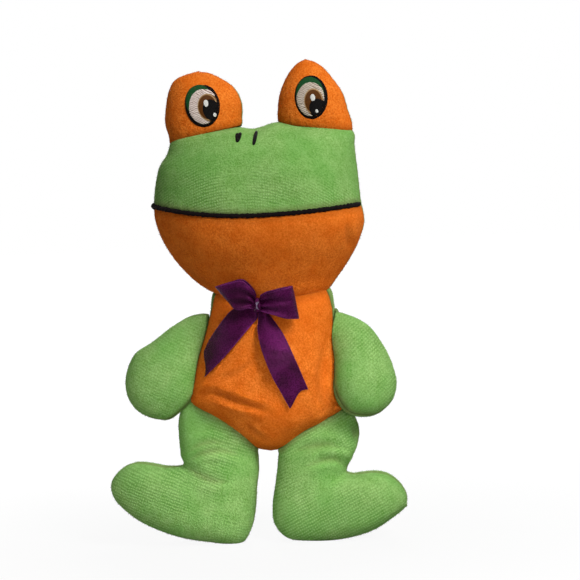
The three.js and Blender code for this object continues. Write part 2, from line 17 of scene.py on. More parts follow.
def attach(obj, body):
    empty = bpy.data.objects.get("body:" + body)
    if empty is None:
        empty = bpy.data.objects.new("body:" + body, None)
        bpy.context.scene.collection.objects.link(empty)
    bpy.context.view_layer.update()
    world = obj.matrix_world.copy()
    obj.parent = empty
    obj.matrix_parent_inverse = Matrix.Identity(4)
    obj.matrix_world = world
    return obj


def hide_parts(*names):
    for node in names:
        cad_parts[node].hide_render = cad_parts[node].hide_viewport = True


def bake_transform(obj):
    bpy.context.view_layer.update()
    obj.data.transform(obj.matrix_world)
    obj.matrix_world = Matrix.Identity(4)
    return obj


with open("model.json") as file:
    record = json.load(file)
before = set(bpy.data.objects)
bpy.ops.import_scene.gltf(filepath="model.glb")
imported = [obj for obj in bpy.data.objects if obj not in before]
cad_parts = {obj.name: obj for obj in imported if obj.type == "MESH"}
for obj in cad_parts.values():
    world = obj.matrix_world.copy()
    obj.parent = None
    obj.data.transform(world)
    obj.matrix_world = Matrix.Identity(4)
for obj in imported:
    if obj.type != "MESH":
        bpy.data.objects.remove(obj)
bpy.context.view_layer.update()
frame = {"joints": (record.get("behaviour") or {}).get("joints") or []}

# Camera: level with the mouth, a little to the right of the toy and a little above it. The photograph was
# taken with the camera rolled clockwise, so the toy leans left in it. Its 580 pixels show 345 mm at the toy.
NECK_X = 1.5
VIEW_HEIGHT = 345.4
neck_joint = next(joint for joint in frame["joints"] if joint["name"] == "neck")
drawing_origin = np.array([neck_joint["pos_m"][0] - NECK_X / 1000, neck_joint["pos_m"][1], 0])
view_azimuth = math.radians(5)
view_elevation = math.radians(3)
view_roll = math.radians(2.66)
view_target = (16.85, -10, 151.25)
view_distance = 1200


def placed(points):
    """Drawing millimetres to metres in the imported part's frame: divided by 1000 and moved to its origin."""
    return np.asarray(points, float) / 1000 + drawing_origin


camera = bpy.data.objects.new("camera", bpy.data.cameras.new("camera"))
bpy.context.scene.collection.objects.link(camera)
bpy.context.scene.camera = camera
towards_camera = Vector((
    math.sin(view_azimuth) * math.cos(view_elevation),
    -math.cos(view_azimuth) * math.cos(view_elevation),
    math.sin(view_elevation),
))
camera.location = Vector(placed(view_target)) + towards_camera * view_distance / 1000
camera.rotation_mode = "QUATERNION"
camera.rotation_quaternion = (-towards_camera).to_track_quat("-Z", "Y") @ Quaternion((0, 0, 1), -view_roll)
camera.data.lens = camera.data.sensor_width * view_distance / VIEW_HEIGHT

# Stuffed forms: the shapes that the head, eye bulges, body, arms and legs are sewn to. Each form is a stack
# of rounded cross-sections between two outline curves, given in shares of its size.
UP_AND_DOWN_ROWS = 241


def catmull_rom(points, t):
    """Smooth curve through points: a cubic on each span, whose end slopes come from the spans on both sides,
    each weighed by the square root of its length. t runs from 0 at the first point to 1 at the last."""
    points = np.asarray(points, float)
    spans = len(points) - 1
    ended = np.vstack([2 * points[0] - points[1], points, 2 * points[-1] - points[-2]])
    place = np.clip(t, 0, 1) * spans
    span = np.minimum(place.astype(int), spans - 1)
    share = (place - span)[..., None]
    p0, p1, p2, p3 = (ended[span + k] for k in range(4))
    pairs = ((p0, p1), (p1, p2), (p2, p3))
    d0, d1, d2 = (np.maximum(np.sum((b - a) ** 2, -1, keepdims=True), 1e-9) ** 0.25 for a, b in pairs)
    start = ((p1 - p0) / d0 - (p2 - p0) / (d0 + d1) + (p2 - p1) / d1) * d1
    end = ((p2 - p1) / d1 - (p3 - p1) / (d1 + d2) + (p3 - p2) / d2) * d1
    curve = p1 + start * share + (3 * (p2 - p1) - 2 * start - end) * share**2
    return curve + (2 * (p1 - p2) + start + end) * share**3


def upright_rows(shares, x, base, height, half_width, front, back):
    """Rows of an upright form. Each is left x and z, right x and z, front and back swell, and roundness,
    worked out from shares of the height above the base and of the half width out from x."""
    up, left, right, swell, roundness = np.array(shares, float).T
    z = base + up * height
    left_x, right_x = x - left * half_width, x + right * half_width
    return np.stack([left_x, z, right_x, z, swell * front, swell * back, roundness], 1)


def limb_rows(shares, sign, x, height, lean, size, swell):
    """Rows of a limb, from shares of its size out and down from its top. Its line leans outwards from
    straight down by lean degrees."""
    outer_out, outer_down, inner_out, inner_down, swells, roundness = np.array(shares, float).T
    angle = math.radians(lean)

    def place(out, down):
        """A place measured out and down, turned by the lean."""
        return (
            x + sign * size * (out * math.cos(angle) + down * math.sin(angle)),
            height + size * (out * math.sin(angle) - down * math.cos(angle)),
        )

    outer, inner = place(outer_out, outer_down), place(inner_out, inner_down)
    left, right = (outer, inner) if sign < 0 else (inner, outer)
    return np.stack([*left, *right, swells * swell, swells * swell, roundness], 1)


def sections(rows, t):
    """Left edge, right edge, front and back swell, and roundness of the cross-sections at t, from smooth
    curves through the rows."""
    left = catmull_rom(rows[:, [0, 4, 1]], t)
    right = catmull_rom(rows[:, [2, 5, 3]], t)
    roundness = np.interp(np.clip(t, 0, 1) * (len(rows) - 1), np.arange(len(rows)), rows[:, 6])
    front, back = np.maximum(left[..., 1], 0), np.maximum(right[..., 1], 0)
    return left[..., [0, 2]], right[..., [0, 2]], front, back, roundness


def form_surface(rows, t, angle):
    """Superellipse section: across is the cosine, and outwards the sine, of the angle, each to the power 2
    over the roundness. Angle 0 is the right edge and a quarter turn the front."""
    left, right, front, back, roundness = sections(rows, t)
    power = 2 / roundness
    across = np.sign(np.cos(angle)) * np.abs(np.cos(angle)) ** power
    outwards = np.abs(np.sin(angle)) ** power
    y = np.where(np.sin(angle) > 0, -front * outwards, back * outwards)
    middle, half = (left + right) / 2, (right - left) / 2
    return np.stack([middle[..., 0] + across * half[..., 0], y, middle[..., 1] + across * half[..., 1]], -1)


def height_share(rows, z):
    """The t at which an upright form's section has height z, looked up on its left edge."""
    t = np.linspace(0, 1, 2001)
    left, *_ = sections(rows, t)
    return np.interp(-z, -left[:, 1], t)


def depth_in(rows, points):
    """How full the section of an upright form is at each point, by the superellipse's own sum: below 1
    inside, 1 on the surface."""
    left, right, front, back, roundness = sections(rows, height_share(rows, points[..., 2]))
    half = np.maximum((right - left)[..., 0] / 2, 1e-6)
    across = np.abs(points[..., 0] - (left + right)[..., 0] / 2) / half
    outwards = np.abs(points[..., 1]) / np.maximum(np.where(points[..., 1] < 0, front, back), 1e-6)
    fullness = (across**roundness + outwards**roundness) ** (1 / roundness)
    beyond = (points[..., 2] > rows[0, 1]) | (points[..., 2] < rows[-1, 1])
    return np.where(beyond, 9, fullness)


def front_of(rows, x, z):
    """How far an upright form's front stands out from Y = 0 at a place seen from the front: the superellipse
    solved for depth."""
    left, right, front, _, roundness = sections(rows, height_share(rows, z))
    half = np.maximum((right - left)[..., 0] / 2, 1e-6)
    across = np.minimum(np.abs(x - (left + right)[..., 0] / 2) / half, 1)
    return front * (1 - across**roundness) ** (1 / roundness)


def first_share(surface, angles, test):
    """For each angle, the first of many even steps of t at which test holds on the surface."""
    t = np.linspace(0, 1, 1201)[:, None] * np.ones(len(angles))
    passed = test(surface(t, np.broadcast_to(angles, t.shape)))
    return t[np.argmax(passed, 0), 0]


def even_angles(rows, at, start, stop, count):
    """Angles from start to stop that step evenly in length round the section at t."""
    share = (1 - np.cos(np.linspace(0, np.pi, 4001))) / 2
    angle = start + (stop - start) * share
    points = form_surface(rows, np.full(angle.shape, at), angle)
    length = np.concatenate([[0], np.cumsum(np.linalg.norm(np.diff(points, axis=0), axis=1))])
    return np.interp(np.linspace(0, length[-1], count), length, angle)


def even_grid(surface, angles, start, stop, count):
    """Points of a surface between t = start and t = stop, in even steps of length along each angle."""
    share = np.linspace(0, 1, UP_AND_DOWN_ROWS)[:, None]
    t = start + (stop - start) * share * np.ones(len(angles))
    wide = np.broadcast_to(angles, t.shape)
    steps = np.linalg.norm(np.diff(surface(t, wide), axis=0), axis=2)
    length = np.vstack([np.zeros(len(angles)), np.cumsum(steps, 0)])
    wanted = np.linspace(0, 1, count)
    even = np.stack([np.interp(wanted * length[-1, j], length[:, j], t[:, j]) for j in range(len(angles))], 1)
    return surface(even, np.broadcast_to(angles, even.shape))


def grid_normals(points):
    """Outward normals of a grid: the cross product of its two directions, or at a pole the mean beside it."""
    normals = np.cross(np.gradient(points, axis=1), np.gradient(points, axis=0))
    length = np.linalg.norm(normals, axis=2, keepdims=True)
    normals = normals / np.maximum(length, 1e-9)
    for pole, beside in ((0, 1), (-1, -2)):
        if np.ptp(points[pole], axis=0).max() < 1e-3:
            mean = normals[beside].mean(0)
            normals[pole] = mean / max(np.linalg.norm(mean), 1e-9)
    return normals


def new_piece(name, points, faces, cloth, material):
    """A mesh object from points in drawing millimetres. cloth holds, for each point, its place on the cloth
    across and along in millimetres, its distance from the nearest seam, and its pile's wear from 0 to 1."""
    mesh = bpy.data.meshes.new(name)
    mesh.from_pydata(placed(points), [], faces)
    cloth = np.asarray(cloth, np.float32)
    mesh.attributes.new("cloth", "FLOAT_VECTOR", "POINT").data.foreach_set("vector", cloth[:, :3].ravel())
    if cloth.shape[1] > 3:
        mesh.attributes.new("wear", "FLOAT", "POINT").data.foreach_set("value", cloth[:, 3].copy())
    tidy = bmesh.new()
    tidy.from_mesh(mesh)
    bmesh.ops.remove_doubles(tidy, verts=tidy.verts, dist=1e-6)
    bmesh.ops.recalc_face_normals(tidy, faces=tidy.faces)
    tidy.to_mesh(mesh)
    tidy.free()
    mesh.shade_smooth()
    mesh.materials.append(material)
    piece = bpy.data.objects.new(name, mesh)
    bpy.context.scene.collection.objects.link(piece)
    return piece


def quads(number):
    """The four-sided faces of a grid: each point, its neighbour, the one below that and the one below."""
    return np.stack([number[:-1, :-1], number[:-1, 1:], number[1:, 1:], number[1:, :-1]], -1).reshape(-1, 4)


def shell(name, outer, thickness, cloth, material, fibres=None):
    """A closed sheet: the outer grid, the same grid moved in along its normals, and a rim that joins them.
    fibres holds the points, faces and cloth places of the pile on it."""
    rows, columns = outer.shape[:2]
    inner = outer - grid_normals(outer) * thickness
    number = np.arange(rows * columns).reshape(rows, columns)
    under = number + rows * columns
    edge = np.concatenate([number[0, :], number[1:, -1], number[-1, -2::-1], number[-2::-1, 0]])
    rim = np.stack([edge[1:], edge[:-1], edge[:-1] + rows * columns, edge[1:] + rows * columns], -1)
    faces = np.concatenate([quads(number), quads(under)[:, ::-1], rim]).tolist()
    points = np.concatenate([outer.reshape(-1, 3), inner.reshape(-1, 3)])
    cloth = np.concatenate([cloth.reshape(-1, cloth.shape[-1])] * 2)
    if fibres is not None:
        fibre_points, fibre_faces, fibre_cloth = fibres
        faces += (fibre_faces + len(points)).tolist()
        points = np.concatenate([points, fibre_points])
        cloth = np.concatenate([cloth, fibre_cloth])
    return new_piece(name, points, faces, cloth, material)


def lumps(points, size, seed):
    """Rise and fall of a stuffed form, from -1 to 1: the mean of waves that cross it in set directions."""
    rng = np.random.default_rng(seed)
    directions = rng.normal(size=(7, 3))
    directions /= np.linalg.norm(directions, axis=1, keepdims=True)
    waves = 2 * np.pi / size * rng.uniform(0.6, 1.5, 7)
    return np.sin(points @ (directions * waves[:, None]).T + rng.uniform(0, 2 * np.pi, 7)).mean(-1)


# Velour: a knitted cloth with a short cut pile, which stands in fine broken ribs on the green and lies felted
# on the orange. It scatters light softly, has no gloss and is darker in the ribs. Painted shade darkens it
# beside the seams and in the folds.
RIB_PITCH = 1.75
BEAD_PITCH = 1.5
GRAIN = 1.1
BLOTCH = 7
PATCH = 24
WAVE_TURNS_PER_UNIT = 20 / (2 * math.pi)


def srgb(hex_code):
    """An sRGB hex value as linear RGBA, by the sRGB curve."""
    share = np.array([int(hex_code[i : i + 2], 16) for i in (1, 3, 5)]) / 255
    linear = np.where(share <= 0.04045, share / 12.92, ((share + 0.055) / 1.055) ** 2.4)
    return (*linear, 1)


def set_sockets(tree, node, sockets):
    """Gives a node's sockets their values, or links them to other nodes' outputs."""
    for socket, value in sockets.items():
        if isinstance(value, bpy.types.NodeSocket):
            tree.links.new(value, node.inputs[socket])
        else:
            node.inputs[socket].default_value = value


def add_node(tree, kind, inputs=(), output=0, **settings):
    """Adds a shader node and returns one of its outputs. inputs are values or outputs, in the order of its
    sockets or by their names or numbers, and settings are its properties."""
    node = tree.nodes.new("ShaderNode" + kind)
    for name, value in settings.items():
        setattr(node, name, value)
    set_sockets(tree, node, inputs if isinstance(inputs, dict) else dict(enumerate(inputs)))
    return node.outputs[output]


def new_material(name):
    """A material, a call that adds nodes to it, and a call that sets its Principled surface."""
    material = bpy.data.materials.new(name)
    material.use_nodes = True
    tree = material.node_tree
    return material, partial(add_node, tree), partial(set_sockets, tree, tree.nodes["Principled BSDF"])


def laid_over(node, ground, layers):
    """A colour with others laid over it in turn, each by its own share from 0 to 1."""
    colour = srgb(ground)
    for share, tone in layers:
        colour = node("Mix", {0: share, 6: colour, 7: srgb(tone)}, 2, data_type="RGBA")
    return colour


def velour(name, deep, edge, middle, pale, vivid, bead, rib_depth, rib_turn):
    """Pile in several tones. A fine grain and faint blotches lie between the middle and the pale tone, and
    wide patches turn to the vivid one. Painted shade turns the cloth beside a seam or fold to the edge tone,
    and the seams and folds themselves to the deep one.
    Ribs of pale beads cross the cloth every rib pitch, turned by rib_turn degrees, where the pile is worn:
    each bead is a wave across the ribs times a wave along them. The grain is drawn coarser than single
    fibres, which wouldn't show."""
    material, node, set_surface = new_material(name)
    cloth = node("Attribute", output="Vector", attribute_name="cloth")
    place = node("TexCoord", output="Object")
    turned = node("Mapping", {"Vector": cloth, "Rotation": (0, 0, math.radians(rib_turn))})
    waves = []
    for pitch, direction in ((RIB_PITCH, "Y"), (BEAD_PITCH, "X")):
        broken = {"Vector": turned, "Distortion": 3.2, "Detail": 2, "Detail Scale": 1.1}
        broken["Scale"] = 1 / (pitch * WAVE_TURNS_PER_UNIT)
        waves.append(node("TexWave", broken, "Fac", bands_direction=direction))
    ribs, rows = waves
    patterns = []
    for size, detail, roughness, limits in (
        (GRAIN, 2, 0.8, (0.34, 0.66)),
        (BLOTCH, 4, 0.5, (0.3, 0.7)),
        (PATCH, 2, 0.5, (0.42, 0.66)),
        (PATCH * 1.3, 1, 0.5, (0.38, 0.6, 0.1 * rib_depth, rib_depth)),
    ):
        noise = {"Vector": place, "Scale": 1000 / size, "Detail": detail, "Roughness": roughness}
        patterns.append(node("MapRange", (node("TexNoise", noise, "Fac"), *limits)))
    grain, blotch, patch, bare = patterns
    wear = node("Attribute", output="Fac", attribute_name="wear")
    worn = node("Math", (bare, wear), operation="MULTIPLY")
    beads = node("Math", (ribs, node("MapRange", (rows, 0.1, 0.7, 0.35, 1))), operation="MULTIPLY")
    fine = node("Math", (grain, 0.62), operation="MULTIPLY")
    broad = node("Math", (blotch, 0.3), operation="MULTIPLY")
    pile = node("Math", (fine, broad), operation="ADD")
    vivid_share = node("Math", (patch, 0.42), operation="MULTIPLY")
    gap_share = node("Math", (node("MapRange", (ribs, 0.5, 0.1, 0, 0.26)), worn), operation="MULTIPLY")
    bead_share = node("Math", (node("MapRange", (beads, 0.5, 0.95, 0, 0.6)), worn), operation="MULTIPLY")
    distance = node("SeparateXYZ", (cloth,), "Z")
    layers = [
        (node("MapRange", (pile, 0.1, 0.82)), pale),
        (vivid_share, vivid),
        (gap_share, deep),
        (bead_share, bead),
        # Painted shade: beside seams and folds the cloth turns to the edge tone, and in them to the deep one.
        (node("MapRange", (distance, 5.5, 1.5, 0, 0.5)), edge),
        (node("MapRange", (distance, 1.3, 0.3, 0, 0.45)), deep),
    ]
    relief = node("Math", (node("Math", (beads, worn), operation="MULTIPLY"), grain), operation="ADD")
    bump = node("Bump", {"Height": relief, "Strength": 0.6, "Distance": 0.0004})
    set_surface({"Roughness": 0.95, "Specular IOR Level": 0.05})
    set_surface({"Sheen Weight": 0.05, "Sheen Tint": srgb(pale)})
    set_surface({"Base Color": laid_over(node, middle, layers), "Normal": bump})
    return material


def green_velour(part, rib_turn, rib_depth=0.7):
    """The green cloth of one part, its ribs turned as they were cut there and as deep as they show there."""
    # Tones: deep, edge, middle, pale, vivid, bead. Deep and edge are the painted shade of seams and folds.
    tones = ("#35451e", "#747548", "#6a9846", "#94bd70", "#579c3c", "#b4cf8e")
    return velour(f"{part} green ribbed velour", *tones, rib_depth, rib_turn)


# Deep and edge, the first two tones, are the painted shade of seams and folds.
orange_velour = velour(
    "orange felted velour", "#743006", "#a34d12", "#c9590a", "#f18630", "#d9620e", "#f18630", 0, 0
)

# Cloth panels: each is cut a little fuller than its form, sewn right sides together and turned, so its edges
# roll into the seams and pucker a little beside them. Its pile shows as fuzz along its outline.
CLOTH_THICKNESS = 1.2
SEAM_ROLL, SEAM_ROLL_WIDTH = 1.3, 1.4
PUCKER_HEIGHT, PUCKER_LENGTH, PUCKER_START, PUCKER_REACH = 0.3, 5.5, 1.2, 5
LUMP_HEIGHT, LUMP_SIZE, LUMP_FADE = 0.9, 48, 8
POINTED_WIDTH = 8
RIDGE_SHARE, RIDGE_PLACE = 0.45, 2.3
# A fold's painted shade is set back by this much from that of a true seam.
FOLD_SHADE_GAP = 2.4
FIBRES_PER_SQUARE = 0.75
FIBRE_LENGTH, FIBRE_WIDTH, FIBRE_ROOT = 1.1, 0.16, 0.2
FIBRE_LEAN, FIBRE_DROOP = 0.45, 0.25


def edge_distances(points):
    """Length over the cloth from each point of a grid to its first and last row, then to its first and last
    column: the summed steps between neighbours."""
    along = np.linalg.norm(np.diff(points, axis=0), axis=2)
    across = np.linalg.norm(np.diff(points, axis=1), axis=2)
    from_top = np.vstack([np.zeros((1, points.shape[1])), np.cumsum(along, 0)])
    from_side = np.hstack([np.zeros((points.shape[0], 1)), np.cumsum(across, 1)])
    return from_top, from_top[-1] - from_top, from_side, from_side[:, -1:] - from_side


def fold_at(points, folds):
    """Depth of the folds, and nearness to them, which the material turns into painted shade. Each fold is a
    curve seen from the front, a depth and a width: the cloth sinks along it by a bell curve of the distance,
    rises beside it, and is even again at its ends."""
    depth = np.zeros(points.shape[:2])
    nearest = np.full(points.shape[:2], 99.0)
    for curve, deep, wide in folds:
        share = np.linspace(0, 1, 49)
        line = catmull_rom(curve, share)
        gap = np.linalg.norm(points[..., None, [0, 2]] - line, axis=-1)
        closest = np.argmin(gap, -1)
        distance = np.take_along_axis(gap, closest[..., None], -1)[..., 0]
        fade = np.sqrt(np.sin(np.pi * np.clip(share[closest], 0.02, 0.98)))
        ridge = RIDGE_SHARE * np.exp(-(((distance - RIDGE_PLACE * wide) / wide) ** 2))
        bell = np.exp(-((distance / wide) ** 2)) - ridge
        depth += deep * fade * bell
        nearest = np.minimum(nearest, distance + 4 * (1 - fade) + FOLD_SHADE_GAP)
    return depth, nearest


def worn_evenly(points):
    """Wear of 1 all over."""
    return np.ones(points.shape[:2])


def laid_flat(points):
    """Cloth measured across and up as seen from the front."""
    return points[..., 0], points[..., 2]


def sewn(points, seams, seed, lay, wear, folds):
    """The grid of a panel with its lumps, its edges rolled in at the seams, the puckers beside them and its
    folds, and its cloth places. seams gives the roll depth and the pucker share of each sewn edge, and the
    roll fades out where the panel runs to a point."""
    distances = dict(zip(("top", "bottom", "right", "left"), edge_distances(points)))
    nearest = np.min([distances[seam] for seam in seams], axis=0)
    top, right, left = distances["top"], distances["right"], distances["left"]
    narrow = np.clip((right + left) / POINTED_WIDTH, 0, 1) ** 2
    move = LUMP_HEIGHT * lumps(points, LUMP_SIZE, seed) * (1 - np.exp(-((nearest / LUMP_FADE) ** 2)))
    for seam, (roll, pucker) in seams.items():
        distance = distances[seam]
        run = top if seam in ("right", "left") else right
        wave = np.sin(2 * np.pi * run / PUCKER_LENGTH + 3 * lumps(points, 12, seed + 50))
        risen = PUCKER_HEIGHT * pucker * wave * np.exp(-distance / PUCKER_REACH)
        rolled = roll * np.exp(-((distance / SEAM_ROLL_WIDTH) ** 2))
        move += narrow * (risen * (1 - np.exp(-((distance / PUCKER_START) ** 2))) - rolled)
    depth, fold_distance = fold_at(points, folds)
    moved = points + grid_normals(points) * (move - depth)[..., None]
    # The cloth's distance to its nearest seam or fold is where the material paints shade.
    return moved, np.stack([*lay(points), np.minimum(nearest, fold_distance), wear(points)], -1)


def pile_fibres(points, cloth, seed):
    """Points, faces and cloth places of the pile: three-sided spikes, each closed, rooted evenly at random
    over the grid. Each leans from the cloth's normal by a random amount, and a little downwards, the way the
    nap lies."""
    rng = np.random.default_rng(seed + 100)
    normals = grid_normals(points)
    sides = np.cross(points[1:, :-1] - points[:-1, :-1], points[:-1, 1:] - points[:-1, :-1])
    area = np.linalg.norm(sides, axis=2).ravel()
    count = int(area.sum() * FIBRES_PER_SQUARE)
    cell = np.searchsorted(np.cumsum(area), rng.uniform(0, area.sum(), count))
    i, j = np.divmod(np.minimum(cell, area.size - 1), points.shape[1] - 1)
    u, v = rng.uniform(0, 1, (2, count, 1))

    def between(grid):
        """The grid's values at the roots, a mean of each cell's corners weighed by nearness."""
        upper = grid[i, j] * (1 - v) + grid[i, j + 1] * v
        lower = grid[i + 1, j] * (1 - v) + grid[i + 1, j + 1] * v
        return upper * (1 - u) + lower * u

    lean = between(normals) + rng.normal(0, FIBRE_LEAN, (count, 3)) + np.array([0, 0, -FIBRE_DROOP])
    lean /= np.linalg.norm(lean, axis=1, keepdims=True)
    across = np.cross(lean, rng.normal(size=(count, 3)))
    across /= np.linalg.norm(across, axis=1, keepdims=True)
    beside = np.cross(lean, across)
    root = between(points) - between(normals) * FIBRE_ROOT
    turns = np.array([0, 2, 4]) * np.pi / 3
    ring = across[:, None] * np.cos(turns)[:, None] + beside[:, None] * np.sin(turns)[:, None]
    tip = root + lean * FIBRE_LENGTH * rng.uniform(0.6, 1.15, (count, 1))
    spikes = np.concatenate([root[:, None] + ring * FIBRE_WIDTH / 2, tip[:, None]], 1)
    spikes[..., 2] = np.maximum(spikes[..., 2], 0)
    corners = np.array([(0, 2, 1), (0, 1, 3), (1, 2, 3), (2, 0, 3)])
    faces = (np.arange(count)[:, None, None] * 4 + corners).reshape(-1, 3)
    return spikes.reshape(-1, 3), faces, np.repeat(between(cloth), 4, axis=0)


def panel(name, points, seams, material, seed, body, nodes, lay=laid_flat, wear=worn_evenly, folds=()):
    """A sewn panel of velour with its pile, which stands for CAD nodes. It rides on the body named; where
    body gives a joint's blend instead, its shape is fixed in place and it rides on no body."""
    moved, cloth = sewn(points, seams, seed, lay, wear, folds)
    piece = shell(name, moved, CLOTH_THICKNESS, cloth, material, pile_fibres(moved, cloth, seed))
    if isinstance(body, str):
        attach(piece, body)
    else:
        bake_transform(piece)
    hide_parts(*nodes)
    return piece


# Head: a green face over an orange jaw, joined along the mouth, and one green panel behind. It is stuffed
# full, and its side seam runs over the top and down both cheeks.
HEAD_X, CHIN_HEIGHT, HEAD_HEIGHT, HEAD_HALF_WIDTH, HEAD_FRONT, HEAD_BACK = 1.5, 148, 103, 62.5, 42, 38
HEAD_SHARES = [
    [1, 0, 0, 0, 2],
    [0.985, 0.36, 0.38, 0.3, 2],
    [0.937, 0.815, 0.9, 0.57, 2.1],
    [0.845, 0.89, 0.915, 0.8, 2.2],
    [0.78, 0.96, 0.922, 0.885, 2.25],
    [0.7, 1, 0.932, 0.95, 2.3],
    [0.534, 1.035, 0.95, 1, 2.3],
    [0.408, 1, 0.975, 0.97, 2.3],
    [0.291, 0.92, 0.91, 0.88, 2.2],
    [0.175, 0.79, 0.8, 0.73, 2.1],
    [0.087, 0.645, 0.69, 0.62, 2],
    [0.02, 0.46, 0.6, 0.53, 2],
    [-0.03, 0.2, 0.44, 0.38, 2],
    [-0.05, -0.15, 0.15, 0, 2],
]
MOUTH_HEIGHT, MOUTH_RISE_LEFT, MOUTH_RISE_RIGHT = 197, 7.5, 4
HEAD_TOP, TOP_DIP, TOP_RISE, DIP_WIDTH = 236, 2.4, 1.2, 8
FRONT_GAP = 0.1
head_rows = upright_rows(
    HEAD_SHARES, HEAD_X, CHIN_HEIGHT, HEAD_HEIGHT, HEAD_HALF_WIDTH, HEAD_FRONT, HEAD_BACK
)


def mouth_line(x):
    """Height of the mouth: a parabola that rises towards each cheek."""
    across = (x - HEAD_X) / HEAD_HALF_WIDTH
    return MOUTH_HEIGHT + np.where(across < 0, MOUTH_RISE_LEFT, MOUTH_RISE_RIGHT) * across**2


def apart(points, side):
    """A panel drawn off the seam plane by a hair, to the front or the back."""
    return points + np.array([0, -FRONT_GAP if side == "front" else FRONT_GAP, 0])


def below_mouth(points):
    """Whether points are lower than the mouth."""
    return points[..., 2] < mouth_line(points[..., 0])


def head_surface(t, angle):
    """The head's form, with a shallow dip between the eyes and a low rise beside the right one: bell curves
    across its top that fade in over its last height."""
    points = form_surface(head_rows, t, angle)
    x, z = points[..., 0], points[..., 2]
    top = np.clip((z - HEAD_TOP) / 12, 0, 1) ** 2
    rise = TOP_RISE * np.exp(-(((x - 15) / DIP_WIDTH) ** 2)) - TOP_DIP * np.exp(-(((x + 1) / DIP_WIDTH) ** 2))
    return np.stack([x, points[..., 1], z + top * rise], -1)


def face_lay(points):
    """The face's cloth was stretched over its curve, so its ribs arch: the height plus a parabola across."""
    x, z = points[..., 0], points[..., 2]
    return x, z + (x + 8) ** 2 / 150


def face_wear(points):
    """The face's pile is worn low down and on its left, and full at its top: a slope of height and width."""
    x, z = points[..., 0], points[..., 2]
    return np.clip((HEAD_TOP - z - 0.25 * (x + 10)) / 22, 0, 1)


front_angles = even_angles(head_rows, 0.45, 0, np.pi, 171)
back_angles = even_angles(head_rows, 0.45, np.pi, 2 * np.pi, 151)
mouth_share = first_share(head_surface, front_angles, below_mouth)
face_grid = apart(even_grid(head_surface, front_angles, 0, mouth_share, 95), "front")
jaw_grid = apart(even_grid(head_surface, front_angles, mouth_share, 1, 95), "front")
back_grid = apart(even_grid(head_surface, back_angles, 0, 1, 151), "back")
head_green = green_velour("head", 0)
side_seams = {"right": (SEAM_ROLL, 0.35), "left": (SEAM_ROLL, 0.35)}
mouth_seam = (0.9, 0.6)
face_seams = {**side_seams, "bottom": mouth_seam}
face_nodes = ["face_panel"]
panel("face", face_grid, face_seams, head_green, 1, "head", face_nodes, face_lay, face_wear)
jaw_seams = {**side_seams, "top": mouth_seam}
jaw_folds = [
    ([(53.1, 190.4), (53.6, 183.2), (53.2, 175)], 0.9, 1.6),
    ([(-46, 168), (-37, 160), (-27, 155)], 0.6, 2.5),
]
panel("jaw", jaw_grid, jaw_seams, orange_velour, 2, "head", ["jaw_panel"], folds=jaw_folds)
head_back_nodes = ["head_back_panel", "head_stuffing"]
panel("head_back", back_grid, side_seams, head_green, 3, "head", head_back_nodes)

# Mouth cord: two thick black yarns twisted together and couched over the seam between the face and the jaw,
# with a small knot at its left end.
CORD_RADIUS, CORD_TWIST_PITCH, CORD_LIFT = 1.3, 6, 0.2


def tube(name, path, radius_at, sides, material):
    """A closed tube round a path: at each point a circle square to the path, of the given radius at each
    angle and length, whose angle 0 points level. Its last ring at each end closes on the path."""
    tangent = np.gradient(path, axis=0)
    tangent /= np.linalg.norm(tangent, axis=1, keepdims=True)
    side = np.cross(tangent, np.array([0, 0, 1.0]))
    side /= np.maximum(np.linalg.norm(side, axis=1, keepdims=True), 1e-9)
    up = np.cross(side, tangent)
    length = np.concatenate([[0], np.cumsum(np.linalg.norm(np.diff(path, axis=0), axis=1))])
    angle = np.linspace(0, 2 * np.pi, sides, endpoint=False)
    radius = radius_at(length[:, None], angle[None, :])
    rings = path[:, None] + radius[..., None] * (
        np.cos(angle)[None, :, None] * side[:, None] + np.sin(angle)[None, :, None] * up[:, None]
    )
    rings = np.concatenate([rings, rings[:, :1]], 1)
    first, last = (np.repeat(end[:, None], sides + 1, 1) for end in (path[:1], path[-1:]))
    closed = np.concatenate([first, rings, last])
    rows, columns = closed.shape[:2]
    number = np.arange(rows * columns).reshape(rows, columns)
    around = np.broadcast_to(np.linspace(0, 1, columns)[None, :], (rows, columns))
    run = np.concatenate([[0], length, length[-1:]])[:, None] * np.ones(columns)
    cloth = np.stack([run, around, np.full_like(run, 9)], -1)
    return new_piece(name, closed.reshape(-1, 3), quads(number).tolist(), cloth.reshape(-1, 3), material)


def yarn(name, deep, pale, strand_pitch):
    """Spun thread: fine fibres that lie along it, darker between them, with next to no gloss. They are a
    noise whose grain is the pitch of the strands in millimetres."""
    material, node, set_surface = new_material(name)
    place = node("TexCoord", output="Object")
    strands = {"Vector": place, "Scale": 1000 / strand_pitch, "Detail": 3, "Roughness": 0.8}
    share = node("MapRange", (node("TexNoise", strands, "Fac"), 0.35, 0.7))
    bump = node("Bump", {"Height": share, "Strength": 0.6, "Distance": 0.0004})
    set_surface({"Roughness": 0.9, "Specular IOR Level": 0.08})
    set_surface({"Base Color": laid_over(node, deep, [(share, pale)]), "Normal": bump})
    return material


black_yarn = yarn("black spun yarn", "#050304", "#1b1213", 0.6)
cord_angle = even_angles(head_rows, 0.45, 0.16, np.pi - 0.165, 420)[::-1]
cord_share = first_share(head_surface, cord_angle, below_mouth)
cord_path = head_surface(cord_share, cord_angle)
smooth_reach = 7
smooth = np.ones(2 * smooth_reach + 1) / (2 * smooth_reach + 1)
cord_path = np.pad(cord_path, ((smooth_reach, smooth_reach), (0, 0)), mode="edge")
cord_path = np.stack([np.convolve(coordinate, smooth, "valid") for coordinate in cord_path.T], 1)
cord_path[:, 1] += CORD_LIFT


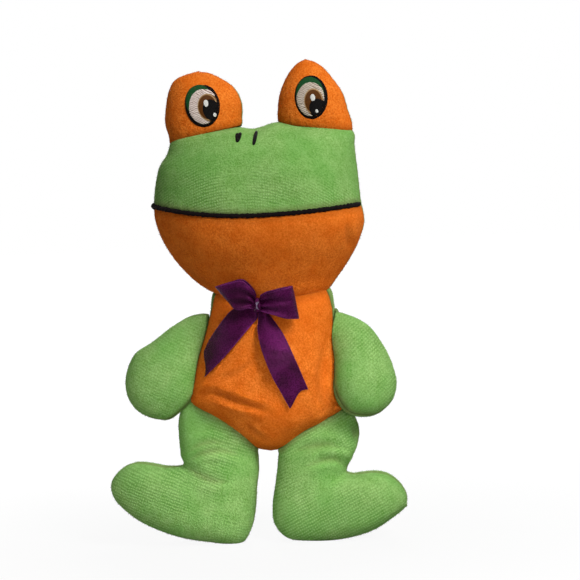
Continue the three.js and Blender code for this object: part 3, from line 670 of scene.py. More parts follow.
def cord_radius(length, angle):
    """Two plies: the radius swells twice round the cord, and the swells wind along it. Slow sines make it
    uneven, and a bell curve near its left end is the knot."""
    plies = 0.1 * np.cos(2 * angle - 2 * np.pi * 2 * length / CORD_TWIST_PITCH)
    uneven = 0.08 * np.sin(length * 0.7) + 0.06 * np.sin(length * 1.9)
    uneven = uneven + 0.05 * np.sin(length * 4.3 + 3 * angle)
    knot = 0.4 * np.exp(-(((length - 0.8) / 1.5) ** 2))
    return CORD_RADIUS * (1 + plies + uneven + knot)


cord = tube("mouth_yarn", cord_path, cord_radius, 16, black_yarn)
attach(cord, "head")
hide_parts("mouth_cord")

# Nostrils: a few black satin stitches each, sewn through the face near its top. The left one is a wedge of
# two that meet below, the right one a slim bar.
STITCH_RIM, STITCH_DEPTH = 0.35, 0.9


def bar_stitch(name, ends, width, material, lift=0.55):
    """A raised satin bar on the head: straight between its ends, round at them, and domed across."""
    (x0, z0), (x1, z1) = ends
    along = np.linspace(0, 1, 25)[:, None]
    across = np.linspace(-1, 1, 9)[None, :]
    length = math.hypot(x1 - x0, z1 - z0)
    ux, uz = (x1 - x0) / length, (z1 - z0) / length
    half = width / 2 * np.sqrt(np.maximum(1 - (2 * along - 1) ** 4, 0))
    x = x0 + (x1 - x0) * along - uz * half * across
    z = z0 + (z1 - z0) * along + ux * half * across
    dome = lift * np.sqrt(np.maximum(1 - across**2, 0)) * np.sqrt(np.maximum(1 - (2 * along - 1) ** 6, 0))
    outer = np.stack([x, -front_of(head_rows, x, z) - STITCH_RIM - dome, z], -1)
    cloth = np.stack([x * 0 + along * length, x * 0 + across * width / 2, x * 0 + 9], -1)
    return shell(name, outer[:, ::-1], STITCH_DEPTH, cloth[:, ::-1], material)


def satin(name, deep, pale, thread_pitch, gloss=0.08, rim=None, uneven=1.2):
    """Satin stitch: smooth threads side by side, with a thin dark line between each pair and a soft gloss.
    Threads are drawn twice as coarse as real ones, or they wouldn't show. rim is the colour of a line just
    inside the edge, and uneven is how far the threads stray."""
    material, node, set_surface = new_material(name)
    cloth = node("Attribute", output="Vector", attribute_name="cloth")
    scale = 1 / (thread_pitch * WAVE_TURNS_PER_UNIT)
    strayed = {"Vector": cloth, "Scale": scale, "Distortion": uneven, "Detail Scale": 1.5}
    threads = node("TexWave", strayed, "Fac", bands_direction="X")
    layers = [(node("MapRange", (threads, 0, 0.6)), pale)]
    if rim:
        inwards = node("SeparateXYZ", (cloth,), "Z")
        both_sides = [node("MapRange", (inwards, *limits)) for limits in ((0.5, 0.8), (1.3, 1))]
        line = node("Math", both_sides, operation="MULTIPLY")
        layers.append((node("Math", (line, 0.75), operation="MULTIPLY"), rim))
    bump = node("Bump", {"Height": threads, "Strength": 0.5, "Distance": 0.0003})
    set_surface({"Roughness": 0.55, "Specular IOR Level": gloss})
    set_surface({"Base Color": laid_over(node, deep, layers), "Normal": bump})
    return material


black_satin = satin("black satin stitch", "#010101", "#060404", 0.7, gloss=0.05)
nostril_wedge = bar_stitch("nostril_left_wedge", ((-8.9, 245.7), (-8.5, 239.7)), 2.4, black_satin)
nostril_left = bar_stitch("nostril_left_stitch", ((-6.9, 246), (-8.3, 239.8)), 2.4, black_satin)
nostril_right = bar_stitch("nostril_right_stitch", ((2.6, 246.5), (1.3, 237.7)), 2.2, black_satin)
for piece in (nostril_left, nostril_wedge, nostril_right):
    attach(piece, "head")
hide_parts("nostril_left")
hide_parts("nostril_right")

# Eye bulges: two stuffed velour domes on top of the head, of an orange panel in front and a green one behind.
# They are sewn down round their bases.
BULGE_FRONT, BULGE_BACK = 17, 16
BULGES = {
    "left": {
        "x": -31.5,
        "base": 236,
        "height": 48.3,
        "half_width": 23.4,
        "shares": [
            [1, 0.064, -0.064, 0, 2],
            [0.973, 0.33, 0.22, 0.24, 2],
            [0.9, 0.69, 0.52, 0.5, 2],
            [0.766, 0.85, 0.86, 0.77, 2.1],
            [0.58, 0.94, 1.02, 0.95, 2.2],
            [0.373, 0.98, 1.01, 1, 2.2],
            [0.207, 0.9, 1, 0.97, 2.2],
            [0.09, 0.86, 0.96, 0.88, 2.1],
            [0, 0, 0, 0, 2],
        ],
    },
    "right": {
        "x": 35.4,
        "base": 237,
        "height": 51.2,
        "half_width": 21.8,
        "shares": [
            [1, 0.18, -0.18, 0, 2],
            [0.973, 0.35, 0.05, 0.22, 2],
            [0.9, 0.555, 0.3, 0.46, 2],
            [0.763, 0.77, 0.555, 0.74, 2.1],
            [0.586, 0.936, 0.81, 0.93, 2.2],
            [0.39, 1, 0.93, 1, 2.2],
            [0.23, 0.99, 1.03, 0.97, 2.2],
            [0.1, 0.92, 1, 0.88, 2.1],
            [0, 0, 0, 0, 2],
        ],
    },
}
bulge_rows = {}


def in_head(points):
    """Whether points lie inside the head's form, below the level of the bulges' middles."""
    return (depth_in(head_rows, points) < 0.985) & (points[..., 2] < 260)


for number, (side, bulge) in enumerate(BULGES.items()):
    sizes = [bulge[key] for key in ("shares", "x", "base", "height", "half_width")]
    rows = upright_rows(*sizes, BULGE_FRONT, BULGE_BACK)
    bulge_rows[side] = rows

    def bulge_surface(t, angle, rows=rows):
        """The bulge's form."""
        return form_surface(rows, t, angle)

    for half, start, material, nodes, cloth_slot in (
        ("front", 0, orange_velour, [f"eye_front_panel_{side}"], "orange_velour"),
        ("back", np.pi, head_green, [f"eye_back_panel_{side}", f"eye_stuffing_{side}"], "green_velour"),
    ):
        angles = even_angles(rows, 0.6, start, start + np.pi, 61)
        ends = first_share(bulge_surface, angles, in_head)
        grid = apart(even_grid(bulge_surface, angles, 0, ends, 61), half)
        seams = {"right": (1, 0.3), "left": (1, 0.3), "bottom": (0.5, 0.8)}
        seed = 10 + 2 * number + (half == "back")
        panel(f"eye_{half}_{side}", grid, seams, material, seed, "head", nodes)

# Eye embroidery: satin stitch in layers on the front of each bulge. A black ring holds a green lid, a pinkish
# white, a brown iris with a cream line in it, and a black pupil with a large and a small white glint.
EYES = {
    "left": {
        "x": -29.6,
        "z": 263.5,
        "half_width": 10.2,
        "half_height": 13.4,
        "lean": 8,
        "opening": (0, 0, 0.84, 0.87),
        "shares": {
            "outline": (0, 0, 1, 1),
            "lid": (-0.1, 0.12, 0.84, 0.82),
            "white": (0.03, -0.07, 0.87, 0.82),
            "iris": (0.29, -0.16, 0.64, 0.66),
            "pupil": (0.44, -0.29, 0.5, 0.5),
            "glint": (0.235, 0.01, 0.135, 0.16),
            "spark": (0.61, -0.545, 0.085, 0.09),
        },
    },
    "right": {
        "x": 35.1,
        "z": 264.6,
        "half_width": 9.6,
        "half_height": 12.9,
        "lean": 3,
        "opening": (-0.06, 0, 0.84, 0.86),
        "shares": {
            "outline": (0, 0, 1, 1),
            "lid": (-0.03, 0.08, 0.9, 0.87),
            "white": (-0.02, -0.06, 0.89, 0.82),
            "iris": (0.13, -0.2, 0.64, 0.655),
            "pupil": (0.32, -0.49, 0.53, 0.44),
            "glint": (0.106, -0.03, 0.14, 0.16),
            "spark": (0.28, -0.66, 0.085, 0.085),
        },
    },
}
white_satin = satin("white satin stitch", "#a3a39e", "#e6e6e0", 0.6)
pinkish_satin = satin("pinkish white satin stitch", "#806459", "#e0d2c9", 1, uneven=6)
# The right eye's white: the same white thread, painted darker and greyer as painted shade.
shaded_white_satin = satin("shaded white satin stitch", "#6b5a4c", "#cbbdad", 1, uneven=6)
lid_satin = satin("dark green satin stitch", "#06200c", "#174f26", 0.8)
iris_satin = satin("brown satin stitch", "#1d0d03", "#64390f", 1.2, rim="#b8976a")
RADIAL = None
DISC_RIM_DROP, DISC_THICKNESS = 0.35, 0.25
EYE_LAYERS = {
    "outline": (0.3, black_satin, "black_thread", RADIAL),
    "lid": (0.42, lid_satin, "lid_thread", RADIAL),
    "white": (0.54, pinkish_satin, "pink_white_thread", 62),
    "iris": (0.66, iris_satin, "brown_thread", RADIAL),
    "pupil": (0.78, black_satin, "black_thread", 60),
    "glint": (0.9, white_satin, "white_thread", 20),
    "spark": (0.9, white_satin, "white_thread", 20),
}


def held_in(oval, x, z, turn):
    """Places drawn straight back to the rim of a leaning oval where they lie outside it."""
    cx, cz, half_width, half_height = oval
    dx, dz = x - cx, z - cz
    along = dx * math.cos(turn) + dz * math.sin(turn)
    up = dz * math.cos(turn) - dx * math.sin(turn)
    over = np.maximum(np.sqrt((along / half_width) ** 2 + (up / half_height) ** 2), 1)
    return cx + dx / over, cz + dz / over


def stitched_disc(name, rows, oval, lean, lift, material, threads, opening=None):
    """An oval of satin stitch on a bulge: rings from its middle to its rim, where it curves down. The threads
    cross it at an angle in degrees, or run outwards from the middle. opening is an oval that holds it in."""
    centre_x, centre_z, half_width, half_height = oval
    radius = np.linspace(0, 1, 22)[:, None]
    angle = np.linspace(0, 2 * np.pi, 73)[None, :]
    turn = math.radians(lean)
    across, up = half_width * np.cos(angle) * radius, half_height * np.sin(angle) * radius
    x = centre_x + across * math.cos(turn) - up * math.sin(turn)
    z = centre_z + across * math.sin(turn) + up * math.cos(turn)
    if opening is not None:
        x, z = held_in(opening, x, z, turn)
    height = lift - DISC_RIM_DROP * radius**10
    outer = np.stack([x, -front_of(rows, x, z) - height, z], -1)
    if threads is RADIAL:
        run = angle * half_height * np.ones_like(radius)
    else:
        run = x * math.cos(math.radians(threads)) + z * math.sin(math.radians(threads))
    outwards = radius * half_width * np.ones_like(angle)
    inwards = (1 - radius) * half_width * np.ones_like(angle)
    return shell(name, outer, DISC_THICKNESS, np.stack([run, outwards, inwards], -1), material)


for side, eye in EYES.items():
    turn = math.radians(eye["lean"])

    def eye_oval(shares, eye=eye, turn=turn):
        """An oval from its shares of the eye: its middle across and up, turned by the eye's lean, and its
        half width and height."""
        dx, dz = shares[0] * eye["half_width"], shares[1] * eye["half_height"]
        x = eye["x"] + dx * math.cos(turn) - dz * math.sin(turn)
        z = eye["z"] + dx * math.sin(turn) + dz * math.cos(turn)
        return x, z, shares[2] * eye["half_width"], shares[3] * eye["half_height"]

    for layer, (lift, material, slot, threads) in EYE_LAYERS.items():
        # The right eye's white takes the painted shade copy of the white thread.
        material = shaded_white_satin if (side, layer) == ("right", "white") else material
        piece = stitched_disc(
            f"eye_{layer}_stitch_{side}",
            bulge_rows[side],
            eye_oval(eye["shares"][layer]),
            eye["lean"],
            lift,
            material,
            threads,
            eye_oval(eye["opening"]) if layer in ("white", "iris", "pupil") else None,
        )
        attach(piece, "head")
        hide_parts(f"eye_{layer}_{side}")

# Body: an orange belly and a green back, drawn in to a V between the legs, where they are sewn on. The neck
# edge is sewn under the head.
CROTCH_HEIGHT, BODY_HEIGHT, BODY_HALF_WIDTH, BODY_FRONT, BODY_BACK = 55.5, 104.5, 48, 28, 26
BODY_SHARES = [
    [1, -0.083, 0.083, 0, 2],
    [0.971, 0.3, 0.5, 0.4, 2],
    [0.923, 0.62, 0.82, 0.64, 2],
    [0.809, 0.68, 0.88, 0.79, 2.1],
    [0.694, 0.74, 0.86, 0.9, 2.1],
    [0.541, 0.86, 0.88, 0.98, 2],
    [0.407, 0.95, 0.935, 1, 1.95],
    [0.292, 0.99, 1.01, 0.94, 1.75],
    [0.196, 0.71, 0.885, 0.85, 1.65],
    [0.1, 0.43, 0.5, 0.67, 1.6],
    [0.029, 0.25, 0.29, 0.4, 1.6],
    [0.003, 0.16, 0.2, 0.12, 1.6],
    [-0.012, 0, 0, 0, 2],
]
NECK_BLEND = (138, 152)
SIDE_SEAM_FORWARDS = 0.3
body_rows = upright_rows(
    BODY_SHARES, 0, CROTCH_HEIGHT, BODY_HEIGHT, BODY_HALF_WIDTH, BODY_FRONT, BODY_BACK
)
neck_from, neck_to = (tuple(placed((HEAD_X, 0, height))) for height in NECK_BLEND)
neck_blend = ("torso", "head", neck_from, neck_to)
body_green = green_velour("body", 0)


def body_surface(t, angle):
    """The body's form, whose angles turn as it nears the neck, which brings its side seams forwards, so a
    little green shows beside the belly."""
    height = form_surface(body_rows, t, angle)[..., 2]
    forwards = SIDE_SEAM_FORWARDS * np.clip((height - 126) / 24, 0, 1)
    turned = np.where(angle <= np.pi, 1 - 2 * angle / np.pi, 2 * angle / np.pi - 3)
    return form_surface(body_rows, t, angle + forwards * turned)


def clear_of_head(points):
    """Whether points lie outside the head's form, or just inside its surface."""
    return depth_in(head_rows, points) > 0.97


BELLY_FOLDS = [
    ([(-43, 91), (-30.4, 92.1), (-24.5, 90.4), (-15.7, 86.8), (-6.9, 83.7), (2, 80)], 1.7, 2.1),
    ([(-29.5, 102.6), (-16.7, 104.9), (-4.2, 112.9)], 0.7, 3.6),
    ([(-13, 72.5), (-7.8, 67.6), (-1, 62.5)], 0.6, 1.5),
    ([(36.5, 120), (33.5, 104), (32.5, 90), (36, 75)], 1.6, 3),
]
for name, half, start, material, nodes, cloth_slot, folds in (
    ("belly", "front", 0, orange_velour, ["belly_panel"], "orange_velour", BELLY_FOLDS),
    ("back", "back", np.pi, body_green, ["back_panel", "body_stuffing"], "green_velour", ()),
):
    angles = even_angles(body_rows, 0.55, start, start + np.pi, 141)
    begin = first_share(body_surface, angles, clear_of_head)
    grid = apart(even_grid(body_surface, angles, begin, 1, 131), half)
    roll = 1.1 * np.clip((grid[..., 2] - 85) / 25, 0, 1)
    body_seams = {"right": (roll, 0.3), "left": (roll, 0.3), "top": (0, 0.6)}
    panel(name, grid, body_seams, material, 20 + (half == "back"), neck_blend, nodes, folds=folds)

# Arms: each is a green mitten of two panels, sewn flat into the side seam at the shoulder, so it hangs
# forwards against the flank. Where it presses on the body it gives way.
SHOULDER_HEIGHT, ARM_SWELL, ARM_BLEND, FIT_GAP = 131, 15.5, 16, 0.3
ARM_SHARES = [
    [-0.01, -0.015, -0.01, -0.015, 0, 2],
    [0.06, -0.11, -0.08, 0.08, 0.22, 2],
    [0.195, 0, -0.1, 0.17, 0.55, 2],
    [0.28, 0.2, -0.14, 0.31, 0.82, 2.1],
    [0.325, 0.42, -0.22, 0.46, 0.96, 2.2],
    [0.345, 0.625, -0.29, 0.595, 1, 2.2],
    [0.29, 0.83, -0.31, 0.75, 0.93, 2.2],
    [0.18, 0.95, -0.275, 0.875, 0.72, 2.1],
    [0.045, 1, -0.15, 0.965, 0.4, 2],
    [-0.055, 0.997, -0.055, 0.997, 0, 2],
]
ARMS = {
    "left": {
        "sign": -1,
        "x": -35,
        "height": 130.2,
        "length": 65.5,
        "lean": 42,
        "forward": 6,
        "twist": 10,
        "outer_more": (0, 0, -0.015, -0.025, -0.02, 0.02, 0.005, 0, 0, 0),
        "inner_more": (0, 0, 0, -0.03, -0.04, -0.03, 0, 0, 0, 0),
        "rib_turn": 25,
        "rib_depth": 0.35,
    },
    "right": {
        "sign": 1,
        "x": 38.5,
        "height": 130,
        "length": 61.7,
        "lean": 27.5,
        "forward": 12,
        "twist": 25,
        "outer_more": (0, -0.01, 0, 0.05, 0.035, 0.005, 0, 0, 0, 0),
        "inner_more": (0, 0, 0, 0, 0, 0, 0, 0, 0, 0),
        "rib_turn": -40,
        "rib_depth": 0.6,
    },
}


def turned_about(points, centre, axis, angle):
    """Points turned about an axis through a centre by the right-hand rule."""
    axis = np.asarray(axis, float) / np.linalg.norm(axis)
    moved = points - centre
    along = (moved @ axis)[..., None] * axis
    return centre + along + (moved - along) * math.cos(angle) + np.cross(axis, moved) * math.sin(angle)


def pressed_by_body(points):
    """Points inside the body move straight out sideways to just clear its side."""
    left, right, front, back, roundness = sections(body_rows, height_share(body_rows, points[..., 2]))
    swell = np.maximum(np.where(points[..., 1] < 0, front, back), 1e-6)
    depth = np.minimum(np.abs(points[..., 1]) / swell, 1)
    half = (right - left)[..., 0] / 2 * (1 - depth**roundness) ** (1 / roundness)
    middle = (right + left)[..., 0] / 2
    out = np.sign(points[..., 0] - middle)
    reach = half + 2 * FIT_GAP
    beyond = (points[..., 2] > body_rows[0, 1]) | (points[..., 2] < body_rows[-1, 1]) | (depth >= 1)
    short = (np.abs(points[..., 0] - middle) < reach) & ~beyond
    x = np.where(short, middle + out * reach, points[..., 0])
    return np.stack([x, points[..., 1], points[..., 2]], -1)


for number, (side, arm) in enumerate(ARMS.items()):
    shares = np.array(ARM_SHARES)
    shares[:, 0] += arm["outer_more"]
    shares[:, 2] += arm["inner_more"]
    rows = limb_rows(shares, arm["sign"], arm["x"], arm["height"], arm["lean"], arm["length"], ARM_SWELL)
    shoulder = np.array([arm["x"], 0, SHOULDER_HEIGHT])
    lean = math.radians(arm["lean"])
    line = np.array([arm["sign"] * math.sin(lean), 0, -math.cos(lean)])

    def arm_surface(t, angle, rows=rows, arm=arm, shoulder=shoulder, line=line):
        """The arm's form, twisted about its line, swung forwards and pressed by the body."""
        points = form_surface(rows, t, angle)
        points = turned_about(points, shoulder, line, -arm["sign"] * math.radians(arm["twist"]))
        points = turned_about(points, shoulder, (1, 0, 0), -math.radians(arm["forward"]))
        return pressed_by_body(points)

    arm_green = green_velour(f"arm {side}", arm["rib_turn"], arm["rib_depth"])
    start = placed(shoulder)
    blend = ("torso", f"arm_{side}", tuple(start), tuple(start + line * ARM_BLEND / 1000))
    for half, begin, nodes in (
        ("front", 0, [f"arm_front_panel_{side}"]),
        ("back", np.pi, [f"arm_back_panel_{side}", f"arm_stuffing_{side}"]),
    ):
        angles = even_angles(rows, 0.6, begin, begin + np.pi, 71)
        grid = even_grid(arm_surface, angles, 0, 1, 101)
        seed = 30 + 2 * number + (half == "back")
        seams = {"right": (0.6, 0.2), "left": (0.6, 0.2)}
        panel(f"arm_{half}_{side}", grid, seams, arm_green, seed, blend, nodes)

# Legs: each is a thigh and a boot in one, of two green panels, sewn to the V of the body. The soles are flat
# where the toy stands on them, and the cloth creases above the ankle. Each limb's own shares are added to the
# common ones.
LEG_SWELL, SOLE_DEPTH, LEG_BLEND, LEG_BLEND_INWARDS = 19, 0.5, 24, 0.3
LEG_SHARES = [
    [0.05, -0.12, 0.05, -0.12, 0, 2],
    [0.38, -0.19, -0.26, 0.04, 0.4, 2],
    [0.465, -0.015, -0.3, 0.235, 0.68, 2],
    [0.46, 0.14, -0.323, 0.346, 0.84, 2],
    [0.405, 0.283, -0.346, 0.488, 0.9, 2.1],
    [0.358, 0.385, -0.375, 0.66, 0.95, 2.3],
    [0.4, 0.41, -0.365, 0.835, 0.97, 2.6],
    [0.49, 0.403, -0.236, 0.965, 1, 2.9],
    [0.6, 0.4, 0, 1, 1, 3],
    [0.71, 0.425, 0.283, 0.992, 0.97, 2.8],
    [0.81, 0.5, 0.567, 0.925, 0.85, 2.5],
    [0.874, 0.606, 0.764, 0.811, 0.56, 2.2],
    [0.876, 0.724, 0.876, 0.724, 0, 2],
]
LEGS = {
    "left": {
        "sign": -1,
        "x": -26.7,
        "seam_height": 70.6,
        "lean": 11,
        "outer_more": (0, -0.02, -0.057, -0.073, -0.06, -0.047, -0.015, 0, 0, 0.005, 0.012, 0.02, 0),
        "drop_more": (0, 0, 0, 0, 0, 0, 0.01, 0.03, 0.03, 0.015, 0, 0.01, 0),
        "inner_more": (0, 0, -0.02, -0.015, 0.005, 0.02, 0.02, -0.05, 0, 0.03, 0.03, 0.03, 0),
        "rib_turn": 22,
        "folds": [
            ([(-50, 56), (-41.3, 61.2), (-33, 62.5), (-22.5, 60)], 2.1, 2),
            ([(-50.7, 50.2), (-40.1, 56.1), (-29.3, 57.4), (-15.5, 53)], 2.1, 2),
            ([(-51.2, 48.4), (-43, 43.4), (-33.3, 39.5), (-22, 38.3)], 0.8, 2.4),
        ],
    },
    "right": {
        "sign": 1,
        "x": 23,
        "seam_height": 65.5,
        "lean": 0,
        "outer_more": (0, 0, 0.005, -0.01, -0.025, -0.02, 0, 0, 0, 0, 0, 0, 0),
        "drop_more": (0, 0, 0, 0, 0, 0, 0, 0, 0, 0, 0, 0, 0),
        "inner_more": (0, 0, 0.01, 0.02, 0.02, 0.02, 0.02, 0, 0, 0, -0.01, -0.01, 0),
        "rib_turn": -27,
        "folds": [
            ([(13.1, 54.2), (24.5, 57.8), (35.6, 58.6), (45, 55.5)], 1.4, 2),
            ([(19.8, 45.5), (30.7, 49.2), (40.3, 49), (47, 42.5)], 1.5, 2),
            ([(49, 69.5), (51.8, 64.1), (51.1, 59)], 1.3, 1.8),
        ],
    },
}


def clear_of_body(points):
    """Whether points lie outside the body's form, or just inside its surface."""
    return depth_in(body_rows, points) > 0.93


for number, (side, leg) in enumerate(LEGS.items()):
    unit_rows = limb_rows(LEG_SHARES, 1, 0, 0, leg["lean"], 1, 1)
    unit = form_surface(unit_rows, np.linspace(0, 1, 800)[:, None], np.array([[0, np.pi]]))
    size = (leg["seam_height"] + SOLE_DEPTH) / -unit[..., 2].min()
    shares = np.array(LEG_SHARES)
    shares[:, :3] += np.stack([leg["outer_more"], leg["drop_more"], leg["inner_more"]], 1)
    rows = limb_rows(shares, leg["sign"], leg["x"], leg["seam_height"], leg["lean"], size, LEG_SWELL)

    def leg_surface(t, angle, rows=rows):
        """The leg's form, with its sole held at the floor."""
        points = form_surface(rows, t, angle)
        points[..., 2] = np.maximum(points[..., 2], 0)
        return points

    leg_green = green_velour(f"leg {side}", leg["rib_turn"])
    lean = math.radians(leg["lean"])
    seam = placed((leg["x"], 0, leg["seam_height"]))
    down = np.array([leg["sign"] * math.sin(lean) - leg["sign"] * LEG_BLEND_INWARDS, 0, -math.cos(lean)])
    blend = ("torso", f"leg_{side}", tuple(seam), tuple(seam + down * LEG_BLEND / 1000))
    for half, start, nodes in (
        ("front", 0, [f"leg_front_panel_{side}"]),
        ("back", np.pi, [f"leg_back_panel_{side}", f"leg_stuffing_{side}"]),
    ):
        angles = even_angles(rows, 0.6, start, start + np.pi, 101)
        begin = first_share(leg_surface, angles, clear_of_body)
        grid = apart(even_grid(leg_surface, angles, begin, 1, 151), half)
        seed = 40 + 2 * number + (half == "back")
        seams = {"right": (0.9, 0.25), "left": (0.9, 0.25), "top": (0, 1)}
        folds = leg["folds"] if half == "front" else ()
        panel(f"leg_{half}_{side}", grid, seams, leg_green, seed, blend, nodes, folds=folds)

# Bow: plum satin ribbon, 15 mm wide, folded to two loops and two tails and tied round its middle with thin
# thread. It rests on the front of the body, below the chin.
KNOT_X, KNOT_HEIGHT, KNOT_HALF_WIDTH, KNOT_HALF_DEPTH, KNOT_HALF_HEIGHT = -1.3, 143.9, 3, 3.8, 4.6
KNOT_CLEARANCE, KNOT_ROWS, KNOT_COLUMNS = 6.9, 41, 73
RIBBON_THICKNESS, LOOP_PUFF, LOOP_LEAN, LOOP_PLEAT, LOOP_CROWN = 0.5, 4.2, 0.42, 0.9, 0.5
LOOP_BACK_SHARE, LOOP_BACK_RISE = 0.46, 1.2
TAIL_ARCH, TAIL_END_LIFT, TAIL_CURL = 3.6, 0.5, 0.7
RIBBON_THREAD_PITCH = 0.7
CLOUDS_PER_MM, SPECKLES_PER_MM = 0.09, 1.1
knot_back = float(front_of(body_rows, np.array(KNOT_X), np.array(KNOT_HEIGHT)))
knot_centre = np.array([KNOT_X, -knot_back - KNOT_CLEARANCE, KNOT_HEIGHT])


def ribbon_satin(name, deep, middle, gloss, woven_edge_highlight):
    """Satin weave: a deep plum that turns violet where the light glances off it, in fine speckles from the
    threads that lie across it, and a woven edge painted paler as a thin highlight along each side. Light is
    coloured as it passes between the dyed threads, so part of the shine is metallic, which tints it. Threads
    and speckles are drawn coarser than real ones, or they wouldn't show."""
    material, node, set_surface = new_material(name)
    cloth = node("Attribute", output="Vector", attribute_name="cloth")
    place = node("TexCoord", output="Object")
    scale = 1 / (RIBBON_THREAD_PITCH * WAVE_TURNS_PER_UNIT)
    crossing = {"Vector": cloth, "Scale": scale, "Distortion": 2, "Detail": 2}
    threads = node("TexWave", crossing, "Fac", bands_direction="X")
    cloud, speckle = (
        node("TexNoise", {"Vector": place, "Scale": 1000 * per_mm, "Detail": detail}, "Fac")
        for per_mm, detail in ((CLOUDS_PER_MM, 3), (SPECKLES_PER_MM, 2))
    )
    edge = node("SeparateXYZ", (cloth,), "Z")
    layers = [
        (node("MapRange", (cloud, 0.35, 0.65)), middle),
        # Painted highlight: a paler line along both edges of the ribbon.
        (node("MapRange", (edge, 0.55, 0.25, 0, 0.55)), woven_edge_highlight),
    ]
    relief = node("Math", (node("Math", (threads, 0.4), operation="MULTIPLY"), speckle), operation="ADD")
    bump = node("Bump", {"Height": relief, "Strength": 0.75, "Distance": 0.0003})
    roughness = node("MapRange", (speckle, 0.4, 0.62, 0.4, 0.16))
    set_surface({"Metallic": 0.4, "Specular IOR Level": 0.3, "Specular Tint": srgb(gloss)})
    set_surface({"Anisotropic": 0.7, "Anisotropic Rotation": 0.25, "Roughness": roughness})
    set_surface({"Base Color": laid_over(node, deep, layers), "Normal": bump})
    return material


# The last tone is the painted highlight along the ribbon's woven edges.
plum_satin = ribbon_satin("plum satin ribbon", "#260319", "#430a38", "#e080dc", "#6c2a66")
LOOPS = {
    "left": {
        "upper": [(-1.2, 147.6), (-2.6, 152.4), (-8.6, 158.9), (-17.2, 157.8), (-25.3, 156.1)],
        "lower": [(-1.2, 140.6), (-5.6, 142.6), (-10.5, 141.8), (-13.6, 142.2), (-16.4, 143.8)],
        "flat": (0.015, 0.04),
    },
    "right": {
        "upper": [(-1.2, 147.4), (3.7, 150.4), (9.6, 152), (14.8, 153.3), (19.9, 154.5)],
        "lower": [(-1.2, 141), (3.4, 139.6), (9.7, 137.6), (16, 135.7), (22.6, 135.1)],
        "flat": (0.015, 0.048),
    },
}
TAILS = {
    "left": {
        "edge": [(-3.8, 145.3), (-12, 143.6), (-18, 140.6), (-24.1, 133.8), (-32.5, 122.9), (-35.9, 116.6)],
        "other": [(-3, 141.5), (-1.7, 137), (-5.4, 132.4), (-14.2, 122.7), (-22.3, 114.2), (-35.6, 102)],
        "flat": (0.015, 0.05),
        "tilt": 0,
        "notch": 0.02,
    },
    "right": {
        "edge": [
            (-2.6, 145), (-1.2, 138.6), (-1.8, 130), (-0.1, 120.5),
            (5.9, 102.4), (10.3, 92.2), (14.8, 82.1),
        ],
        "other": [(2, 142.6), (4.8, 138.3), (9.4, 132), (14, 124.8), (19.9, 110.4), (22.8, 102), (26, 92.9)],
        "flat": (0.015, 0.062),
        "tilt": 2.4,
        "notch": 0.045,
    },
}


def ribbon_piece(name, grid):
    """A ribbon from a grid of points, along it and across it, with its woven edges."""
    top, _, right, left = edge_distances(grid)
    cloth = np.stack([top, right, np.minimum(right, left)], -1)
    piece = shell(name, grid, RIBBON_THICKNESS, cloth, plum_satin)
    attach(piece, "torso")
    return piece


# The knot: a turn of the same ribbon pulled tight round the bow's middle. It is an egg shape whose upright
# pleats come from a cosine round it.
knot_up = np.linspace(0, np.pi, KNOT_ROWS)[:, None]
knot_round = np.linspace(0, 2 * np.pi, KNOT_COLUMNS)[None, :]
pleats = 1 + 0.1 * np.cos(7 * knot_round + 0.8 * np.cos(knot_up)) * np.sin(knot_up)
knot_grid = knot_centre + np.stack(
    [
        KNOT_HALF_WIDTH * np.sin(knot_up) * np.cos(knot_round) * pleats,
        KNOT_HALF_DEPTH * np.sin(knot_up) * np.sin(knot_round) * pleats,
        KNOT_HALF_HEIGHT * np.cos(knot_up) * np.ones_like(knot_round),
    ],
    -1,
)
number = np.arange(KNOT_ROWS * KNOT_COLUMNS).reshape(KNOT_ROWS, KNOT_COLUMNS)
even = np.ones(number.shape)
knot_cloth = np.stack([knot_up * 5 * even, knot_round * 3 * even, 9 * even], -1).reshape(-1, 3)
knot = new_piece("bow_knot_wrap", knot_grid.reshape(-1, 3), quads(number).tolist(), knot_cloth, plum_satin)
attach(knot, "torso")
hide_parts("bow_knot")

# The loops: the ribbon goes out from the knot between two edge curves, folds over and comes back behind. Its
# puff is a sine, in front on the way out and less far behind on the way back. It leans forwards clear of the
# chin, and a cosine across it that fades outwards gathers it to pleats at the knot.
for side, loop in LOOPS.items():
    share = np.linspace(0.03, 0.97, 81)[:, None]
    across = np.linspace(0, 1, 29)[None, :]
    out = np.sin(np.pi * share[:, 0])
    upper = catmull_rom(loop["upper"], out)[:, None]
    lower = catmull_rom(loop["lower"], out)[:, None]
    plan = lower + (upper - lower) * across[..., None]
    behind = np.where(share > 0.5, 1 - out[:, None], 0)
    gather = (1 - out[:, None]) ** 0.7
    puff = LOOP_PUFF * np.sin(2 * np.pi * share) + LOOP_PLEAT * gather * np.cos(5 * np.pi * across)
    puff = puff + LOOP_CROWN * np.sin(np.pi * across) * out[:, None]
    height = plan[..., 1] + LOOP_BACK_RISE * behind**0.5
    lean = LOOP_LEAN * np.maximum(height - KNOT_HEIGHT - 2, 0)
    puff = np.where(share > 0.5, LOOP_BACK_SHARE, 1) * puff + lean
    grid = np.stack([plan[..., 0], knot_centre[1] - puff, height], -1)
    piece = ribbon_piece(f"bow_loop_ribbon_{side}", grid)
    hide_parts(f"bow_loop_{side}")

